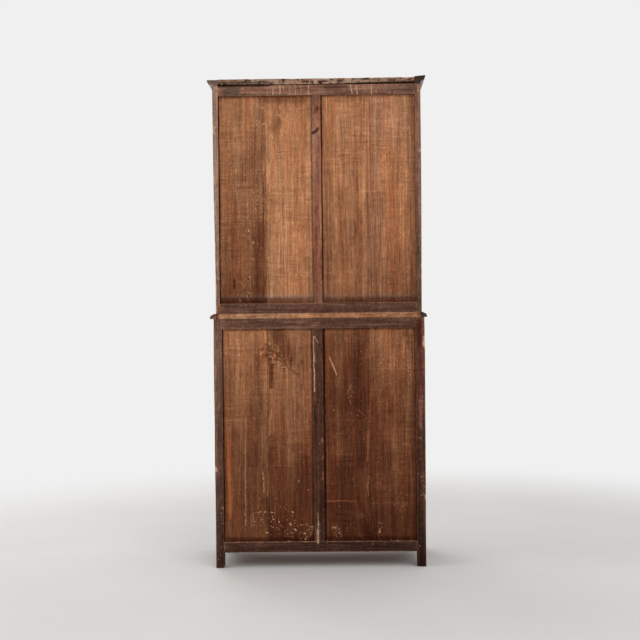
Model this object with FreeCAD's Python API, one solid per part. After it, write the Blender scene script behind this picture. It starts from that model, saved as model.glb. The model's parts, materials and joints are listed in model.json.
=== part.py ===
"""Two-part cupboard in millimetres: a base on four stile feet, and an upper case that lifts off it.

Both cases are frame and panel, each with a pair of doors in front and a back of two fielded panels.
The frame is X to the right of someone facing the doors, Y towards the back and Z up. The origin is on
the floor under the middle of the whole cupboard. Left and right are as seen from the front.
"""
import FreeCAD
import Part

import math
import os

Vector = FreeCAD.Vector
Z_AXIS = Vector(0, 0, 1)

# Widths and depths of the two cases
base_width = 914.0
base_depth = 440.0
upper_side_setback = 9.0
upper_front_setback = 9.0

# Heights from the floor up, along the back
foot_height = 66.0
base_back_bottom_rail = 46.0
base_back_opening = 922.0
base_back_top_rail = 46.0
base_top_thickness = 22.0
upper_back_bottom_rail = 44.0
upper_back_opening = 900.0
upper_back_top_rail = 45.0
cornice_rise = 30.0

# Corner posts and stiles
base_post_width = 38.0
base_post_depth = 60.0
upper_post_width = 38.0
upper_post_depth = 40.0
upper_stile_thickness = 21.0
upper_stile_width = 60.0

# Frame members
frame_thickness = 22.0
base_muntin_width = 43.0
base_muntin_shift = -5.0
upper_muntin_width = 38.0
side_rail_height = 60.0

# Grooves and the panels that float in them
groove_depth = 9.0
groove_width = 6.4
groove_inset = 9.6
side_groove_inset = 8.4
panel_fit = 0.15
panel_float = 1.5
back_panel_recess = 3.8
back_panel_bevel = 22.0
side_panel_recess = 2.5
side_panel_bevel = 26.0

# Mortise and tenon joints, and their pegs
tenon_thickness = 8.0
tenon_inset = 7.0
tenon_length = 22.0
stub_tenon_length = 12.0
tenon_shoulder = 6.0
tenon_fit = 0.05
mortise_spare = 1.5
peg_radius = 3.5
peg_fit = 0.03

# Front rails
base_front_rail_height = 60.0
base_apron_height = 70.0
apron_bracket_length = 62.0
apron_rise = 26.0
apron_curve = 70.0
upper_front_bottom_rail = 50.0
upper_front_top_rail = 60.0

# Doors
door_thickness = 22.0
door_gap = 1.5
meeting_gap = 3.0
door_stile = 62.0
door_top_rail = 62.0
door_middle_rail = 54.0
door_bottom_rail = 76.0
door_short_panel = 236.0
sticking_radius = 6.0
door_groove_inset = 9.0
door_panel_recess = 1.2
door_panel_bevel = 34.0
door_panel_step = 2.0

# Boards inside and on top
floor_thickness = 16.0
floor_stop = 8.0
shelf_thickness = 16.0
shelf_front_setback = 46.0
base_shelf_height = 530.0
upper_lower_shelf_height = 1450.0
upper_upper_shelf_height = 1748.0
board_fit = 0.5
cleat_width = 18.0
cleat_height = 22.0
top_board_thickness = 13.0
top_batten_width = 30.0
top_batten_recess = 11.0

# Waist moulding on three sides of the base top
waist_projection = 14.0
waist_seat = 12.0
waist_fillet = 4.0

# Cornice on three sides of the upper case
cornice_projection = 26.0
cornice_seat = 21.0
cornice_lap = 8.0
cornice_lap_thickness = 5.0
cornice_fillet = 7.0
cornice_spring = 6.0

# Loose dowels that locate the upper case
dowel_radius = 5.0
dowel_standing = 12.0
dowel_sunk = 14.0
dowel_fit = 0.4
dowel_from_centre = 300.0

# Butt hinges with a showing barrel
hinge_length = 76.0
hinge_from_end = 96.0
knuckle_radius = 5.0
hinge_pin_radius = 2.5
hinge_pin_fit = 0.05
hinge_standoff = 5.5
knuckle_gap = 0.3
leaf_thickness = 1.6
leaf_depth = 18.0
leaf_fit = 0.1
finial_radius = 3.6

# Countersunk screws
screw_head_radius = 3.6
screw_radius = 1.8
screw_length = 14.0
screw_fit = 0.03
leaf_screw_spread = 27.0
leaf_screw_depth = 9.0

# Rim lock behind the right-hand door of each pair
lock_width = 50.0
lock_height = 64.0
lock_depth = 14.0
lock_wall = 1.5
lock_ear = 10.0
lock_ear_thickness = 2.0
lock_below_key = 20.0
lock_edge_inset = 3.0
bolt_height = 12.0
bolt_thickness = 6.0
bolt_tail = 26.0
bolt_above_key = 13.0
bolt_fit = 0.4
bolt_throw = 12.0

# Key and its escutcheon
shank_radius = 3.0
shank_fit = 0.1
key_bit_length = 11.0
key_bit_width = 3.0
key_bit_depth = 6.0
keyhole_radius = 4.2
keyhole_slot = 4.4
key_shank_showing = 13.0
bow_half_height = 13.0
bow_half_length = 9.0
bow_rim = 4.0
bow_thickness = 4.0
escutcheon_width = 26.0
escutcheon_height = 56.0
escutcheon_thickness = 1.5
escutcheon_pin_radius = 1.5

# Slide bolt inside the left-hand door of each pair
bar_width = 10.0
bar_thickness = 6.0
bar_tail = 12.0
bar_travel = 14.0
bar_below_edge = 1.0
bar_above_plate = 6.0
bar_fit = 0.4
bar_plate_width = 30.0
bar_plate_length = 118.0
bar_plate_thickness = 1.5
staple_height = 12.0
staple_wall = 3.0
bar_knob_radius = 5.0
bar_knob_length = 9.0

# Levels worked out from the floor up
base_opening_bottom = foot_height + base_back_bottom_rail
base_opening_top = base_opening_bottom + base_back_opening
base_case_top = base_opening_top + base_back_top_rail
waist_level = base_case_top + base_top_thickness
upper_opening_bottom = waist_level + upper_back_bottom_rail
upper_opening_top = upper_opening_bottom + upper_back_opening
upper_case_top = upper_opening_top + upper_back_top_rail
total_height = upper_case_top + cornice_rise

# Places in plan, with the origin under the middle of the whole cupboard
key_reach = key_shank_showing + 2 * bow_half_length
front_reach = max(key_reach, waist_projection, cornice_projection - upper_front_setback,
                  hinge_standoff + knuckle_radius)
back_y = (base_depth + front_reach) / 2
base_front_y = back_y - base_depth
upper_front_y = base_front_y + upper_front_setback
base_half = base_width / 2
upper_half = base_half - upper_side_setback

# Door openings
base_door_bottom = foot_height + base_apron_height
base_door_top = base_case_top - base_front_rail_height
upper_door_bottom = waist_level + upper_front_bottom_rail
upper_door_top = upper_case_top - upper_front_top_rail
base_opening_half = base_half - base_post_width
upper_opening_half = upper_half - upper_post_width


def block(x_range, y_range, z_range):
    """A rectangular block between three pairs of limits."""
    low = [min(r) for r in (x_range, y_range, z_range)]
    high = [max(r) for r in (x_range, y_range, z_range)]
    size = [h - l for l, h in zip(low, high)]
    return Part.makeBox(size[0], size[1], size[2], Vector(*low))


def centred(middle, width):
    """The two limits of a width about its middle."""
    return (middle - width / 2, middle + width / 2)


def cylinder_along(axis, centre, radius, length):
    """A cylinder that starts at centre and runs along axis."""
    return Part.makeCylinder(radius, length, centre, axis)


def profile_face(path, to_point):
    """A flat face round a closed path of (a, b) points, where ("arc", middle, end) is an arc."""
    edges = []
    here = path[0]
    for step in path[1:] + [path[0]]:
        if step[0] == "arc":
            middle, end = step[1], step[2]
            arc = Part.Arc(to_point(*here), to_point(*middle), to_point(*end))
            edges.append(arc.toShape())
            here = end
        elif step != here:
            edges.append(Part.makeLine(to_point(*here), to_point(*step)))
            here = step
    return Part.Face(Part.Wire(edges))


def screw(head, along, spare=0.0):
    """A countersunk screw whose flat head lies at the point head and whose tip lies along the axis."""
    rise = screw_head_radius - screw_radius
    cone = Part.makeCone(screw_head_radius + spare, screw_radius + spare, rise + spare, head, along)
    shank = cylinder_along(along, head + along * (rise * 0.5), screw_radius + spare,
                           screw_length - rise * 0.5 + spare)
    return cone.fuse(shank).removeSplitter()


def mirrored(shape):
    """The shape's mirror image, left for right."""
    return shape.mirror(Vector(0, 0, 0), Vector(1, 0, 0))


def solids_of(shapes):
    """Every separate solid in a list of shapes."""
    return [solid for shape in shapes for solid in shape.Solids]


# The four ways that a frame can face: a turn about Z that takes its outer face from -Y to that side
FACING_TURN = {"front": 0.0, "back": 180.0, "left": -90.0, "right": 90.0}


def faced(shape, facing, outer_face):
    """Turns a shape modelled with its outer face on Y = 0, looking along -Y, to a side of the case."""
    moved = shape.copy()
    moved.rotate(Vector(0, 0, 0), Z_AXIS, FACING_TURN[facing])
    outward = {"front": Vector(0, 1, 0), "back": Vector(0, 1, 0),
               "left": Vector(1, 0, 0), "right": Vector(1, 0, 0)}[facing]
    moved.translate(outward * outer_face)
    return moved


class FrameSpec:
    """How one frame is worked: its thickness, groove, panels, tenons and moulded edge."""

    def __init__(self, thickness, inset, recess, bevel, tenon, step=0.0, sticking=0.0, grooved=True):
        self.thickness = thickness
        self.groove = (inset, inset + groove_width)
        self.recess = recess
        self.bevel = bevel
        self.tenon = tenon
        self.step = step
        self.sticking = sticking
        self.grooved = grooved


def fielded_panel(spec, u_range, v_range, splits):
    """A panel with a bevelled border and a tongue in the grooves, sawn into boards at the splits.

    u_range and v_range are the sight lines of its opening; the tongue reaches past them.
    """
    reach = groove_depth - panel_float
    tongue = spec.groove[0] + panel_fit
    inner_face = spec.groove[1] - panel_fit
    u_edge = (u_range[0] - reach, u_range[1] + reach)
    v_edge = (v_range[0] - reach, v_range[1] + reach)
    body = block(u_edge, (spec.recess, inner_face), v_edge)
    above = spec.recess - 1.0
    shoulder = spec.recess + spec.step
    for edge, sight, inward in ((u_edge[0], u_range[0], 1), (u_edge[1], u_range[1], -1)):
        path = [(edge - inward, above), (sight + inward * spec.bevel, above),
                (sight + inward * spec.bevel, shoulder), (sight, tongue), (edge - inward, tongue)]
        face = profile_face(path, lambda a, b: Vector(a, b, v_edge[0] - 1))
        body = body.cut(face.extrude(Vector(0, 0, v_edge[1] - v_edge[0] + 2)))
    for edge, sight, inward in ((v_edge[0], v_range[0], 1), (v_edge[1], v_range[1], -1)):
        path = [(edge - inward, above), (sight + inward * spec.bevel, above),
                (sight + inward * spec.bevel, shoulder), (sight, tongue), (edge - inward, tongue)]
        face = profile_face(path, lambda a, b: Vector(u_edge[0] - 1, b, a))
        body = body.cut(face.extrude(Vector(u_edge[1] - u_edge[0] + 2, 0, 0)))
    limits = [u_edge[0]] + [u_range[0] + s * (u_range[1] - u_range[0]) for s in splits] + [u_edge[1]]
    return [body.common(block((a, b), (0, spec.thickness), (v_edge[0] - 1, v_edge[1] + 1)))
            for a, b in zip(limits, limits[1:])]


def edge_moulding(spec, v_edge, upward, u_range):
    """The quarter round that is planed off a rail's edge at v_edge, along u_range."""
    r = spec.sticking
    inward = 1 if upward else -1
    corner = (-1.0, v_edge)
    path = [corner, (-1.0, v_edge + inward * r), (0.0, v_edge + inward * r),
            ("arc", (r * (1 - math.sqrt(0.5)), v_edge + inward * r * (1 - math.sqrt(0.5))), (r, v_edge)),
            (r, v_edge - inward), (-1.0, v_edge - inward)]
    face = profile_face(path, lambda a, b: Vector(u_range[0], a, b))
    return face.extrude(Vector(u_range[1] - u_range[0], 0, 0))


def stile_moulding(spec, u_edge, rightward, v_range):
    """The quarter round that is planed off a stile's inner edge at u_edge, along v_range."""
    r = spec.sticking
    inward = 1 if rightward else -1
    path = [(u_edge, -1.0), (u_edge + inward * r, -1.0), (u_edge + inward * r, 0.0),
            ("arc", (u_edge + inward * r * (1 - math.sqrt(0.5)), r * (1 - math.sqrt(0.5))), (u_edge, r)),
            (u_edge - inward, r), (u_edge - inward, -1.0)]
    face = profile_face(path, lambda a, b: Vector(a, b, v_range[0]))
    return face.extrude(Vector(0, 0, v_range[1] - v_range[0]))


def tenon_range(spec, low, high, panel_below, panel_above):
    """How much of a rail's height its tenon takes."""
    below = groove_depth if panel_below and spec.grooved else tenon_shoulder
    above = groove_depth if panel_above and spec.grooved else tenon_shoulder
    return (low + below, high - above)


def panelled_frame(spec, u_range, rails, muntins, splits, stiles=()):
    """Rails, muntins and panels between two uprights, and what is cut from the uprights for them.

    rails is a list of (low, high) from the bottom up, and muntins a list of (middle, width) in every
    bay. The uprights are cut by "mortises" and "grooves"; pegs are drilled through "peg_places".
    stiles are the raw stiles of a moulded frame, over whose edges the rails are scribed.
    """
    made = {"rails": [], "muntins": [], "panels": [], "cuts": [], "peg_places": []}
    left, right = u_range
    groove_y = spec.groove
    tenon_y = (tenon_inset, tenon_inset + tenon_thickness)
    r = spec.sticking
    for index, (low, high) in enumerate(rails):
        below = index > 0
        above = index < len(rails) - 1
        rail = block((left - r, right + r), (0, spec.thickness), (low, high))
        for edge, worked in ((low, below), (high, above)):
            if not (worked and spec.grooved):
                continue
            inward = 1 if edge == low else -1
            rail = rail.cut(block((left - r, right + r), groove_y, (edge, edge + inward * groove_depth)))
            if r:
                rail = rail.cut(edge_moulding(spec, edge, edge == low, (left - r - 1, right + r + 1)))
        for stile in stiles:
            rail = rail.cut(stile)
        tenon_v = tenon_range(spec, low, high, below, above)
        tenon = block((left - spec.tenon, right + spec.tenon), tenon_y, tenon_v)
        rail = rail.fuse(tenon).removeSplitter()
        for end, outward in ((left, -1), (right, 1)):
            mortise = block((end, end + outward * (spec.tenon + mortise_spare)),
                            (tenon_y[0] - tenon_fit, tenon_y[1] + tenon_fit),
                            (tenon_v[0] - tenon_fit, tenon_v[1] + tenon_fit))
            made["cuts"].append(mortise)
            made["peg_places"].append((end + outward * spec.tenon / 2, (low + high) / 2))
        made["rails"].append(rail)
    if not spec.grooved:
        return made
    for (_, bay_low), (bay_high, _) in zip(rails, rails[1:]):
        for end, outward in ((left, -1), (right, 1)):
            made["cuts"].append(block((end, end + outward * groove_depth), groove_y,
                                      (bay_low - groove_depth, bay_high + groove_depth)))
        bay_edges = [left]
        for middle, width in muntins:
            span = centred(middle, width)
            muntin = block(span, (0, spec.thickness), (bay_low, bay_high))
            tongue_y = (groove_y[0] + panel_fit, groove_y[1] - panel_fit)
            reach = groove_depth - panel_float
            muntin = muntin.fuse(block(span, tongue_y, (bay_low - reach, bay_high + reach)))
            for side, inward in ((span[0], 1), (span[1], -1)):
                muntin = muntin.cut(block((side, side + inward * groove_depth), groove_y,
                                          (bay_low - groove_depth, bay_high + groove_depth)))
            made["muntins"].append(muntin.removeSplitter())
            bay_edges += span
        bay_edges.append(right)
        for start, end in zip(bay_edges[::2], bay_edges[1::2]):
            made["panels"].append(fielded_panel(spec, (start, end), (bay_low, bay_high), splits))
    return made


def placed(made, facing, outer_face):
    """A frame's parts, turned and moved to their side of the case."""
    move = lambda shape: faced(shape, facing, outer_face)
    return {"rails": [move(s) for s in made["rails"]],
            "muntins": [move(s) for s in made["muntins"]],
            "panels": [[move(b) for b in boards] for boards in made["panels"]],
            "cuts": [move(s) for s in made["cuts"]],
            "pegs": [move(peg(u, v, 0.0)) for u, v in made["peg_places"]],
            "peg_holes": [move(peg(u, v, peg_fit)) for u, v in made["peg_places"]]}


def peg(u, v, spare):
    """A round peg driven square to a frame's outer face, through the upright and the tenon."""
    depth = tenon_inset + tenon_thickness + 3.0
    return cylinder_along(Vector(0, 1, 0), Vector(u, -spare, v), peg_radius + spare, depth + 2 * spare)


def cut_all(shape, tools):
    """The shape less every tool that reaches it."""
    for tool in tools:
        if shape.BoundBox.intersect(tool.BoundBox):
            shape = shape.cut(tool)
    return shape


back_spec = FrameSpec(frame_thickness, groove_inset, back_panel_recess, back_panel_bevel, tenon_length)
upper_back_spec = FrameSpec(frame_thickness, groove_inset, back_panel_recess, back_panel_bevel,
                            stub_tenon_length)
side_spec = FrameSpec(frame_thickness, side_groove_inset, side_panel_recess, side_panel_bevel,
                      tenon_length)
upper_side_spec = FrameSpec(upper_stile_thickness, side_groove_inset, side_panel_recess,
                            side_panel_bevel, tenon_length)
front_spec = FrameSpec(frame_thickness, groove_inset, 0.0, 0.0, tenon_length, grooved=False)
door_spec = FrameSpec(door_thickness, door_groove_inset, door_panel_recess, door_panel_bevel,
                      tenon_length, step=door_panel_step, sticking=sticking_radius)


def base_frames():
    """The base's back, sides and front rails, in place."""
    back_u = base_opening_half
    rails = [(foot_height, base_opening_bottom), (base_opening_top, base_case_top)]
    back = panelled_frame(back_spec, (-back_u, back_u), rails,
                          [(base_muntin_shift, base_muntin_width)], [0.5])
    side_rails = [(foot_height, foot_height + side_rail_height),
                  (base_case_top - side_rail_height, base_case_top)]
    side_u = (base_front_y + base_post_depth, back_y - base_post_depth)
    right = panelled_frame(side_spec, side_u, side_rails, [], [0.52])
    left = panelled_frame(side_spec, (-side_u[1], -side_u[0]), side_rails, [], [0.48])
    front_rails = [(foot_height, base_door_bottom), (base_door_top, base_case_top)]
    front = panelled_frame(front_spec, (-back_u, back_u), front_rails, [], [])
    return {"back": placed(back, "back", back_y),
            "right": placed(right, "right", base_half),
            "left": placed(left, "left", -base_half),
            "front": placed(front, "front", base_front_y)}


def upper_frames():
    """The upper case's back, sides and front rails, in place."""
    back_u = upper_half - upper_stile_thickness
    rails = [(waist_level, upper_opening_bottom), (upper_opening_top, upper_case_top)]
    back = panelled_frame(upper_back_spec, (-back_u, back_u), rails,
                          [(0.0, upper_muntin_width)], [0.5])
    side_rails = [(waist_level, waist_level + side_rail_height),
                  (upper_case_top - side_rail_height, upper_case_top)]
    side_u = (upper_front_y + upper_post_depth, back_y - upper_stile_width)
    right = panelled_frame(upper_side_spec, side_u, side_rails, [], [0.5])
    left = panelled_frame(upper_side_spec, (-side_u[1], -side_u[0]), side_rails, [], [0.5])
    front_u = upper_opening_half
    front_rails = [(waist_level, upper_door_bottom), (upper_door_top, upper_case_top)]
    front = panelled_frame(front_spec, (-front_u, front_u), front_rails, [], [])
    return {"back": placed(back, "back", back_y),
            "right": placed(right, "right", upper_half),
            "left": placed(left, "left", -upper_half),
            "front": placed(front, "front", upper_front_y)}


def apron_shape(rail):
    """The bottom front rail with its lower edge swept up between two brackets."""
    reach = base_opening_half
    flat = reach - apron_bracket_length
    rise = min(apron_rise, base_apron_height - 2 * tenon_shoulder)
    half_curve = apron_curve / 2
    low, middle, high = foot_height, foot_height + rise / 2, foot_height + rise
    bend = rise / 8
    right = [("arc", (flat - half_curve / 2, low + bend), (flat - half_curve, middle)),
             ("arc", (flat - 1.5 * half_curve, high - bend), (flat - 2 * half_curve, high))]
    left = [("arc", (-flat + 1.5 * half_curve, high - bend), (-flat + half_curve, middle)),
            ("arc", (-flat + half_curve / 2, low + bend), (-flat, low))]
    path = [(-flat, low - 1.0), (flat, low - 1.0), (flat, low)] + right
    path += [(-flat + 2 * half_curve, high)] + left
    depth = base_front_y - 1.0
    face = profile_face(path, lambda a, b: Vector(a, depth, b))
    return rail.cut(face.extrude(Vector(0, frame_thickness + 2.0, 0)))


def hinge_places(door_bottom, door_top):
    """The middle heights of a door's two hinges."""
    return (door_bottom + hinge_from_end, door_top - hinge_from_end)


def hinge_line(opening_half, front_y):
    """Where the left door's hinge pin stands, in plan."""
    return Vector(-opening_half + door_gap / 2, front_y - hinge_standoff, 0)


def leaf_pockets(opening_half, front_y, heights, in_door):
    """The shallow beds that the left door's hinge leaves lie in, and their screw holes."""
    post_face = -opening_half
    door_edge = -opening_half + door_gap
    if in_door:
        x_range = (door_edge, door_edge + leaf_thickness + leaf_fit)
    else:
        x_range = (post_face - leaf_thickness - leaf_fit, post_face)
    length = hinge_length + 2 * leaf_fit
    beds = [block(x_range, (front_y - 1.0, front_y + leaf_depth + leaf_fit), centred(z, length))
            for z in heights]
    return beds + [s for z in heights for s in leaf_screws(opening_half, front_y, z, in_door, screw_fit)]


def leaf_screws(opening_half, front_y, z, in_door, spare=0.0):
    """The three screws that hold a leaf of the left door's hinge at height z."""
    head_x = -opening_half + (door_gap if in_door else 0.0)
    along = Vector(1, 0, 0) if in_door else Vector(-1, 0, 0)
    places = ((leaf_screw_depth, -1), (leaf_screw_depth + 3.0, 0), (leaf_screw_depth, 1))
    return [screw(Vector(head_x, front_y + depth, z + side * leaf_screw_spread), along, spare)
            for depth, side in places]


def case_hinge_half(opening_half, front_y, z):
    """The leaf that is let into the left post, its two outer knuckles, and the pin with its tips."""
    line = hinge_line(opening_half, front_y)
    third = hinge_length / 3
    bottom = z - hinge_length / 2
    leaf = block((-opening_half - leaf_thickness, -opening_half),
                 (line.y, front_y + leaf_depth), centred(z, hinge_length))
    middle = block((-opening_half - 2 * knuckle_radius, -opening_half),
                   (line.y - 1.0, front_y - 0.5 * (hinge_standoff - knuckle_radius)),
                   centred(z, third + knuckle_gap))
    half = leaf.cut(middle)
    for start in (bottom, bottom + 2 * third):
        knuckle = cylinder_along(Z_AXIS, Vector(line.x, line.y, start), knuckle_radius, third)
        half = half.fuse(knuckle)
    bore = cylinder_along(Z_AXIS, Vector(line.x, line.y, bottom - 1), hinge_pin_radius,
                          hinge_length + 2)
    half = cut_all(half.cut(bore), leaf_screws(opening_half, front_y, z, False, screw_fit))
    pin = cylinder_along(Z_AXIS, Vector(line.x, line.y, bottom), hinge_pin_radius, hinge_length)
    for end, along in ((bottom, -1), (bottom + hinge_length, 1)):
        tip = Part.makeSphere(finial_radius, Vector(line.x, line.y, end + along * finial_radius * 0.9))
        keep = block(centred(line.x, 20), centred(line.y, 20), (end, end + along * 20))
        pin = pin.fuse(tip.common(keep))
    return [half.removeSplitter(), pin.removeSplitter()] + leaf_screws(opening_half, front_y, z, False)


def door_hinge_half(opening_half, front_y, z):
    """The leaf that is let into the left door's edge, with the middle knuckle, and its screws."""
    line = hinge_line(opening_half, front_y)
    third = hinge_length / 3
    edge = -opening_half + door_gap
    leaf = block((edge, edge + leaf_thickness), (line.y, front_y + leaf_depth), centred(z, hinge_length))
    inner_face = front_y - 0.5 * (hinge_standoff - knuckle_radius)
    for end in (z - hinge_length / 2, z + hinge_length / 2):
        inward = 1 if end < z else -1
        leaf = leaf.cut(block((edge - 1, edge + 2 * knuckle_radius), (line.y - 1, inner_face),
                              (end - inward, end + inward * (third + knuckle_gap / 2))))
    knuckle = cylinder_along(Z_AXIS, Vector(line.x, line.y, z - third / 2 + knuckle_gap / 2),
                             knuckle_radius, third - knuckle_gap)
    bore = cylinder_along(Z_AXIS, Vector(line.x, line.y, z - third), hinge_pin_radius + hinge_pin_fit,
                          2 * third)
    leaf = leaf.fuse(knuckle).cut(bore)
    leaf = cut_all(leaf, leaf_screws(opening_half, front_y, z, True, screw_fit)).removeSplitter()
    return [leaf] + leaf_screws(opening_half, front_y, z, True)


def door_heights(bottom, top, short_panel_on_top):
    """The three rails of a door, bottom up, with the short panel at its top or its bottom."""
    low = bottom + door_gap
    high = top - door_gap
    lower_rail = (low, low + door_bottom_rail)
    upper_rail = (high - door_top_rail, high)
    if short_panel_on_top:
        middle_top = upper_rail[0] - door_short_panel
        middle_rail = (middle_top - door_middle_rail, middle_top)
    else:
        middle_bottom = lower_rail[1] + door_short_panel
        middle_rail = (middle_bottom, middle_bottom + door_middle_rail)
    return [lower_rail, middle_rail, upper_rail]


def left_door(opening_half, front_y, bottom, top, short_panel_on_top):
    """The left-hand door of a pair: two stiles, three rails, two panels and their pegs."""
    outer = -opening_half + door_gap
    inner = -meeting_gap / 2
    rails = door_heights(bottom, top, short_panel_on_top)
    span = (rails[0][0], rails[-1][1])
    sight = (outer + door_stile, inner - door_stile)
    stiles = []
    for x_range, edge, rightward in (((outer, sight[0]), sight[0], False), ((sight[1], inner), sight[1], True)):
        raw = block(x_range, (0, door_thickness), span)
        stiles.append(raw.cut(stile_moulding(door_spec, edge, rightward, (span[0] - 1, span[1] + 1))))
    made = panelled_frame(door_spec, sight, rails, [], [], stiles)
    parts = placed(made, "front", front_y)
    stiles = [faced(s, "front", front_y) for s in stiles]
    pockets = leaf_pockets(opening_half, front_y, hinge_places(bottom, top), True)
    stiles = [cut_all(s, parts["cuts"] + parts["peg_holes"] + pockets) for s in stiles]
    rail_solids = [cut_all(s, parts["peg_holes"]) for s in parts["rails"]]
    return {"stiles": stiles, "rails": rail_solids, "pegs": parts["pegs"],
            "panels": [board for boards in parts["panels"] for board in boards]}


def keyhole(x, z, y_range, spare=0.0):
    """The round hole and slot that a key goes through."""
    depth = y_range[1] - y_range[0]
    round_part = cylinder_along(Vector(0, 1, 0), Vector(x, y_range[0], z), keyhole_radius + spare, depth)
    slot_low = z - key_bit_length - 1.0 - spare
    slot = block(centred(x, keyhole_slot + 2 * spare), y_range, (slot_low, z))
    return round_part.fuse(slot).removeSplitter()


def key_place(bottom, top):
    """Where a pair's key goes: the middle of the right door's meeting stile, half way up."""
    return (meeting_gap / 2 + door_stile / 2, (bottom + top) / 2)


def rim_lock(front_y, bottom, top):
    """The iron lock case and its ears, with room inside for the bolt and the key's bit."""
    x, z = key_place(bottom, top)
    inner = front_y + door_thickness
    left = meeting_gap / 2 + lock_edge_inset
    low = z - lock_below_key
    case = block((left, left + lock_width), (inner, inner + lock_depth), (low, low + lock_height))
    cavity = block((left + lock_wall, left + lock_width - lock_wall),
                   (inner - 1, inner + lock_depth - lock_wall),
                   (low + lock_wall, low + lock_height - lock_wall))
    slot = block((left - 1, left + lock_wall + 1), bolt_y_range(front_y, bolt_fit),
                 (z + bolt_above_key - bolt_fit, z + bolt_above_key + bolt_height + bolt_fit))
    pin_hole = cylinder_along(Vector(0, 1, 0), Vector(x, inner, z), shank_radius + shank_fit,
                              lock_depth + 1)
    ears = block(centred(left + lock_width / 2, 2 * lock_ear), (inner, inner + lock_ear_thickness),
                 (low - lock_ear, low + lock_height + lock_ear))
    case = case.fuse(ears).cut(cavity).cut(slot).cut(pin_hole)
    return cut_all(case, lock_screws(front_y, bottom, top, screw_fit)).removeSplitter()


def lock_screws(front_y, bottom, top, spare=0.0):
    """The two screws through ears above and below the lock case."""
    _, z = key_place(bottom, top)
    x = meeting_gap / 2 + lock_edge_inset + lock_width / 2
    head_y = front_y + door_thickness + lock_ear_thickness
    ends = (z - lock_below_key - lock_ear / 2, z - lock_below_key + lock_height + lock_ear / 2)
    return [screw(Vector(x, head_y, end), Vector(0, -1, 0), spare) for end in ends]


def bolt_y_range(front_y, spare=0.0):
    """How deep the lock's bolt lies behind the door."""
    start = front_y + door_thickness + 3.0
    return (start - spare, start + bolt_thickness + spare)


def lock_bolt(front_y, bottom, top):
    """The lock's bolt, drawn back so that its end is flush with the case.

    Its tail stays in the case when the bolt is thrown.
    """
    _, z = key_place(bottom, top)
    left = meeting_gap / 2 + lock_edge_inset
    return block((left, left + bolt_throw + bolt_tail), bolt_y_range(front_y),
                 (z + bolt_above_key, z + bolt_above_key + bolt_height))


def key(front_y, bottom, top):
    """The key: an oval bow, a collar, a round shank and a bit that hangs down."""
    x, z = key_place(bottom, top)
    inner = front_y + door_thickness
    shank_front = front_y - key_shank_showing
    tail = inner + lock_depth - shank_front - 1.0
    along = Vector(0, 1, 0)
    shank = cylinder_along(along, Vector(x, shank_front - 2.0, z), shank_radius, tail + 2.0)
    collar_y = front_y - escutcheon_thickness - 4.0
    collar = cylinder_along(along, Vector(x, collar_y, z), shank_radius + 1.6, 3.0)
    bit_y = bolt_y_range(front_y)
    bit = block(centred(x, key_bit_width), (bit_y[0], bit_y[0] + key_bit_depth), (z - key_bit_length, z))
    centre = Vector(x - bow_thickness / 2, shank_front - bow_half_length, z)
    outer = Part.Ellipse(centre, bow_half_height, bow_half_length)
    inner_rim = Part.Ellipse(centre, bow_half_height - bow_rim, bow_half_length - bow_rim)
    ring = []
    for oval in (outer, inner_rim):
        edge = oval.toShape()
        edge.rotate(centre, Vector(0, 1, 0), 90)
        ring.append(Part.Face(Part.Wire([edge])).extrude(Vector(bow_thickness, 0, 0)))
    bow = ring[0].cut(ring[1])
    shank = shank.fuse(collar).fuse(bit)
    return shank.cut(ring[1]).fuse(bow).removeSplitter()


def escutcheon(front_y, bottom, top):
    """The brass plate round the keyhole, with round ends and two pins."""
    x, z = key_place(bottom, top)
    face_y = front_y - escutcheon_thickness
    radius = escutcheon_width / 2
    middle = z - key_bit_length / 2
    straight = max(escutcheon_height / 2 - radius, 0.5)
    plate = block(centred(x, escutcheon_width), (face_y, front_y), centred(middle, 2 * straight))
    pins = []
    for side in (-1, 1):
        end = Vector(x, face_y, middle + side * straight)
        plate = plate.fuse(cylinder_along(Vector(0, 1, 0), end, radius, escutcheon_thickness))
        pin_z = middle + side * (straight + radius * 0.45)
        pins.append(Part.makeSphere(escutcheon_pin_radius, Vector(x, face_y, pin_z)))
    plate = plate.cut(keyhole(x, z, (face_y - 1, front_y + 1)))
    for pin in pins:
        plate = plate.fuse(pin.common(block(centred(x, 10), (face_y - 5, front_y), (bottom, top))))
    return plate.removeSplitter()


def slide_bolt_place(top):
    """Where the left door's slide bolt stands, and the height of its drawn-down end."""
    return (-(meeting_gap / 2 + door_stile / 2), top - door_gap - bar_below_edge)


def plate_screws(front_y, top, spare=0.0):
    """Four screws near the corners of the slide bolt's plate."""
    x, bar_top = slide_bolt_place(top)
    head_y = front_y + door_thickness + bar_plate_thickness
    plate_top = bar_top - bar_above_plate
    across = bar_plate_width / 2 - screw_head_radius - 0.6
    rows = (plate_top - staple_height - 12.0, plate_top - bar_plate_length + staple_height + 12.0)
    return [screw(Vector(x + side * across, head_y, row), Vector(0, -1, 0), spare)
            for side in (-1, 1) for row in rows]


def slide_bolt_plate(front_y, top):
    """The iron plate behind the left door and the two staples that guide its bolt."""
    x, bar_top = slide_bolt_place(top)
    inner = front_y + door_thickness
    plate_top = bar_top - bar_above_plate
    plate = block(centred(x, bar_plate_width), (inner, inner + bar_plate_thickness),
                  (plate_top - bar_plate_length, plate_top))
    bar_y = inner + bar_plate_thickness
    channel_depth = bar_thickness + 2 * bar_fit
    for z in (plate_top - staple_height, plate_top - bar_plate_length + staple_height):
        outer = block(centred(x, bar_width + 2 * (bar_fit + staple_wall)),
                      (bar_y, bar_y + channel_depth + staple_wall), centred(z, staple_height))
        channel = block(centred(x, bar_width + 2 * bar_fit), (bar_y, bar_y + channel_depth),
                        centred(z, staple_height + 2))
        plate = plate.fuse(outer.cut(channel))
    return cut_all(plate, plate_screws(front_y, top, screw_fit)).removeSplitter()


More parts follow.
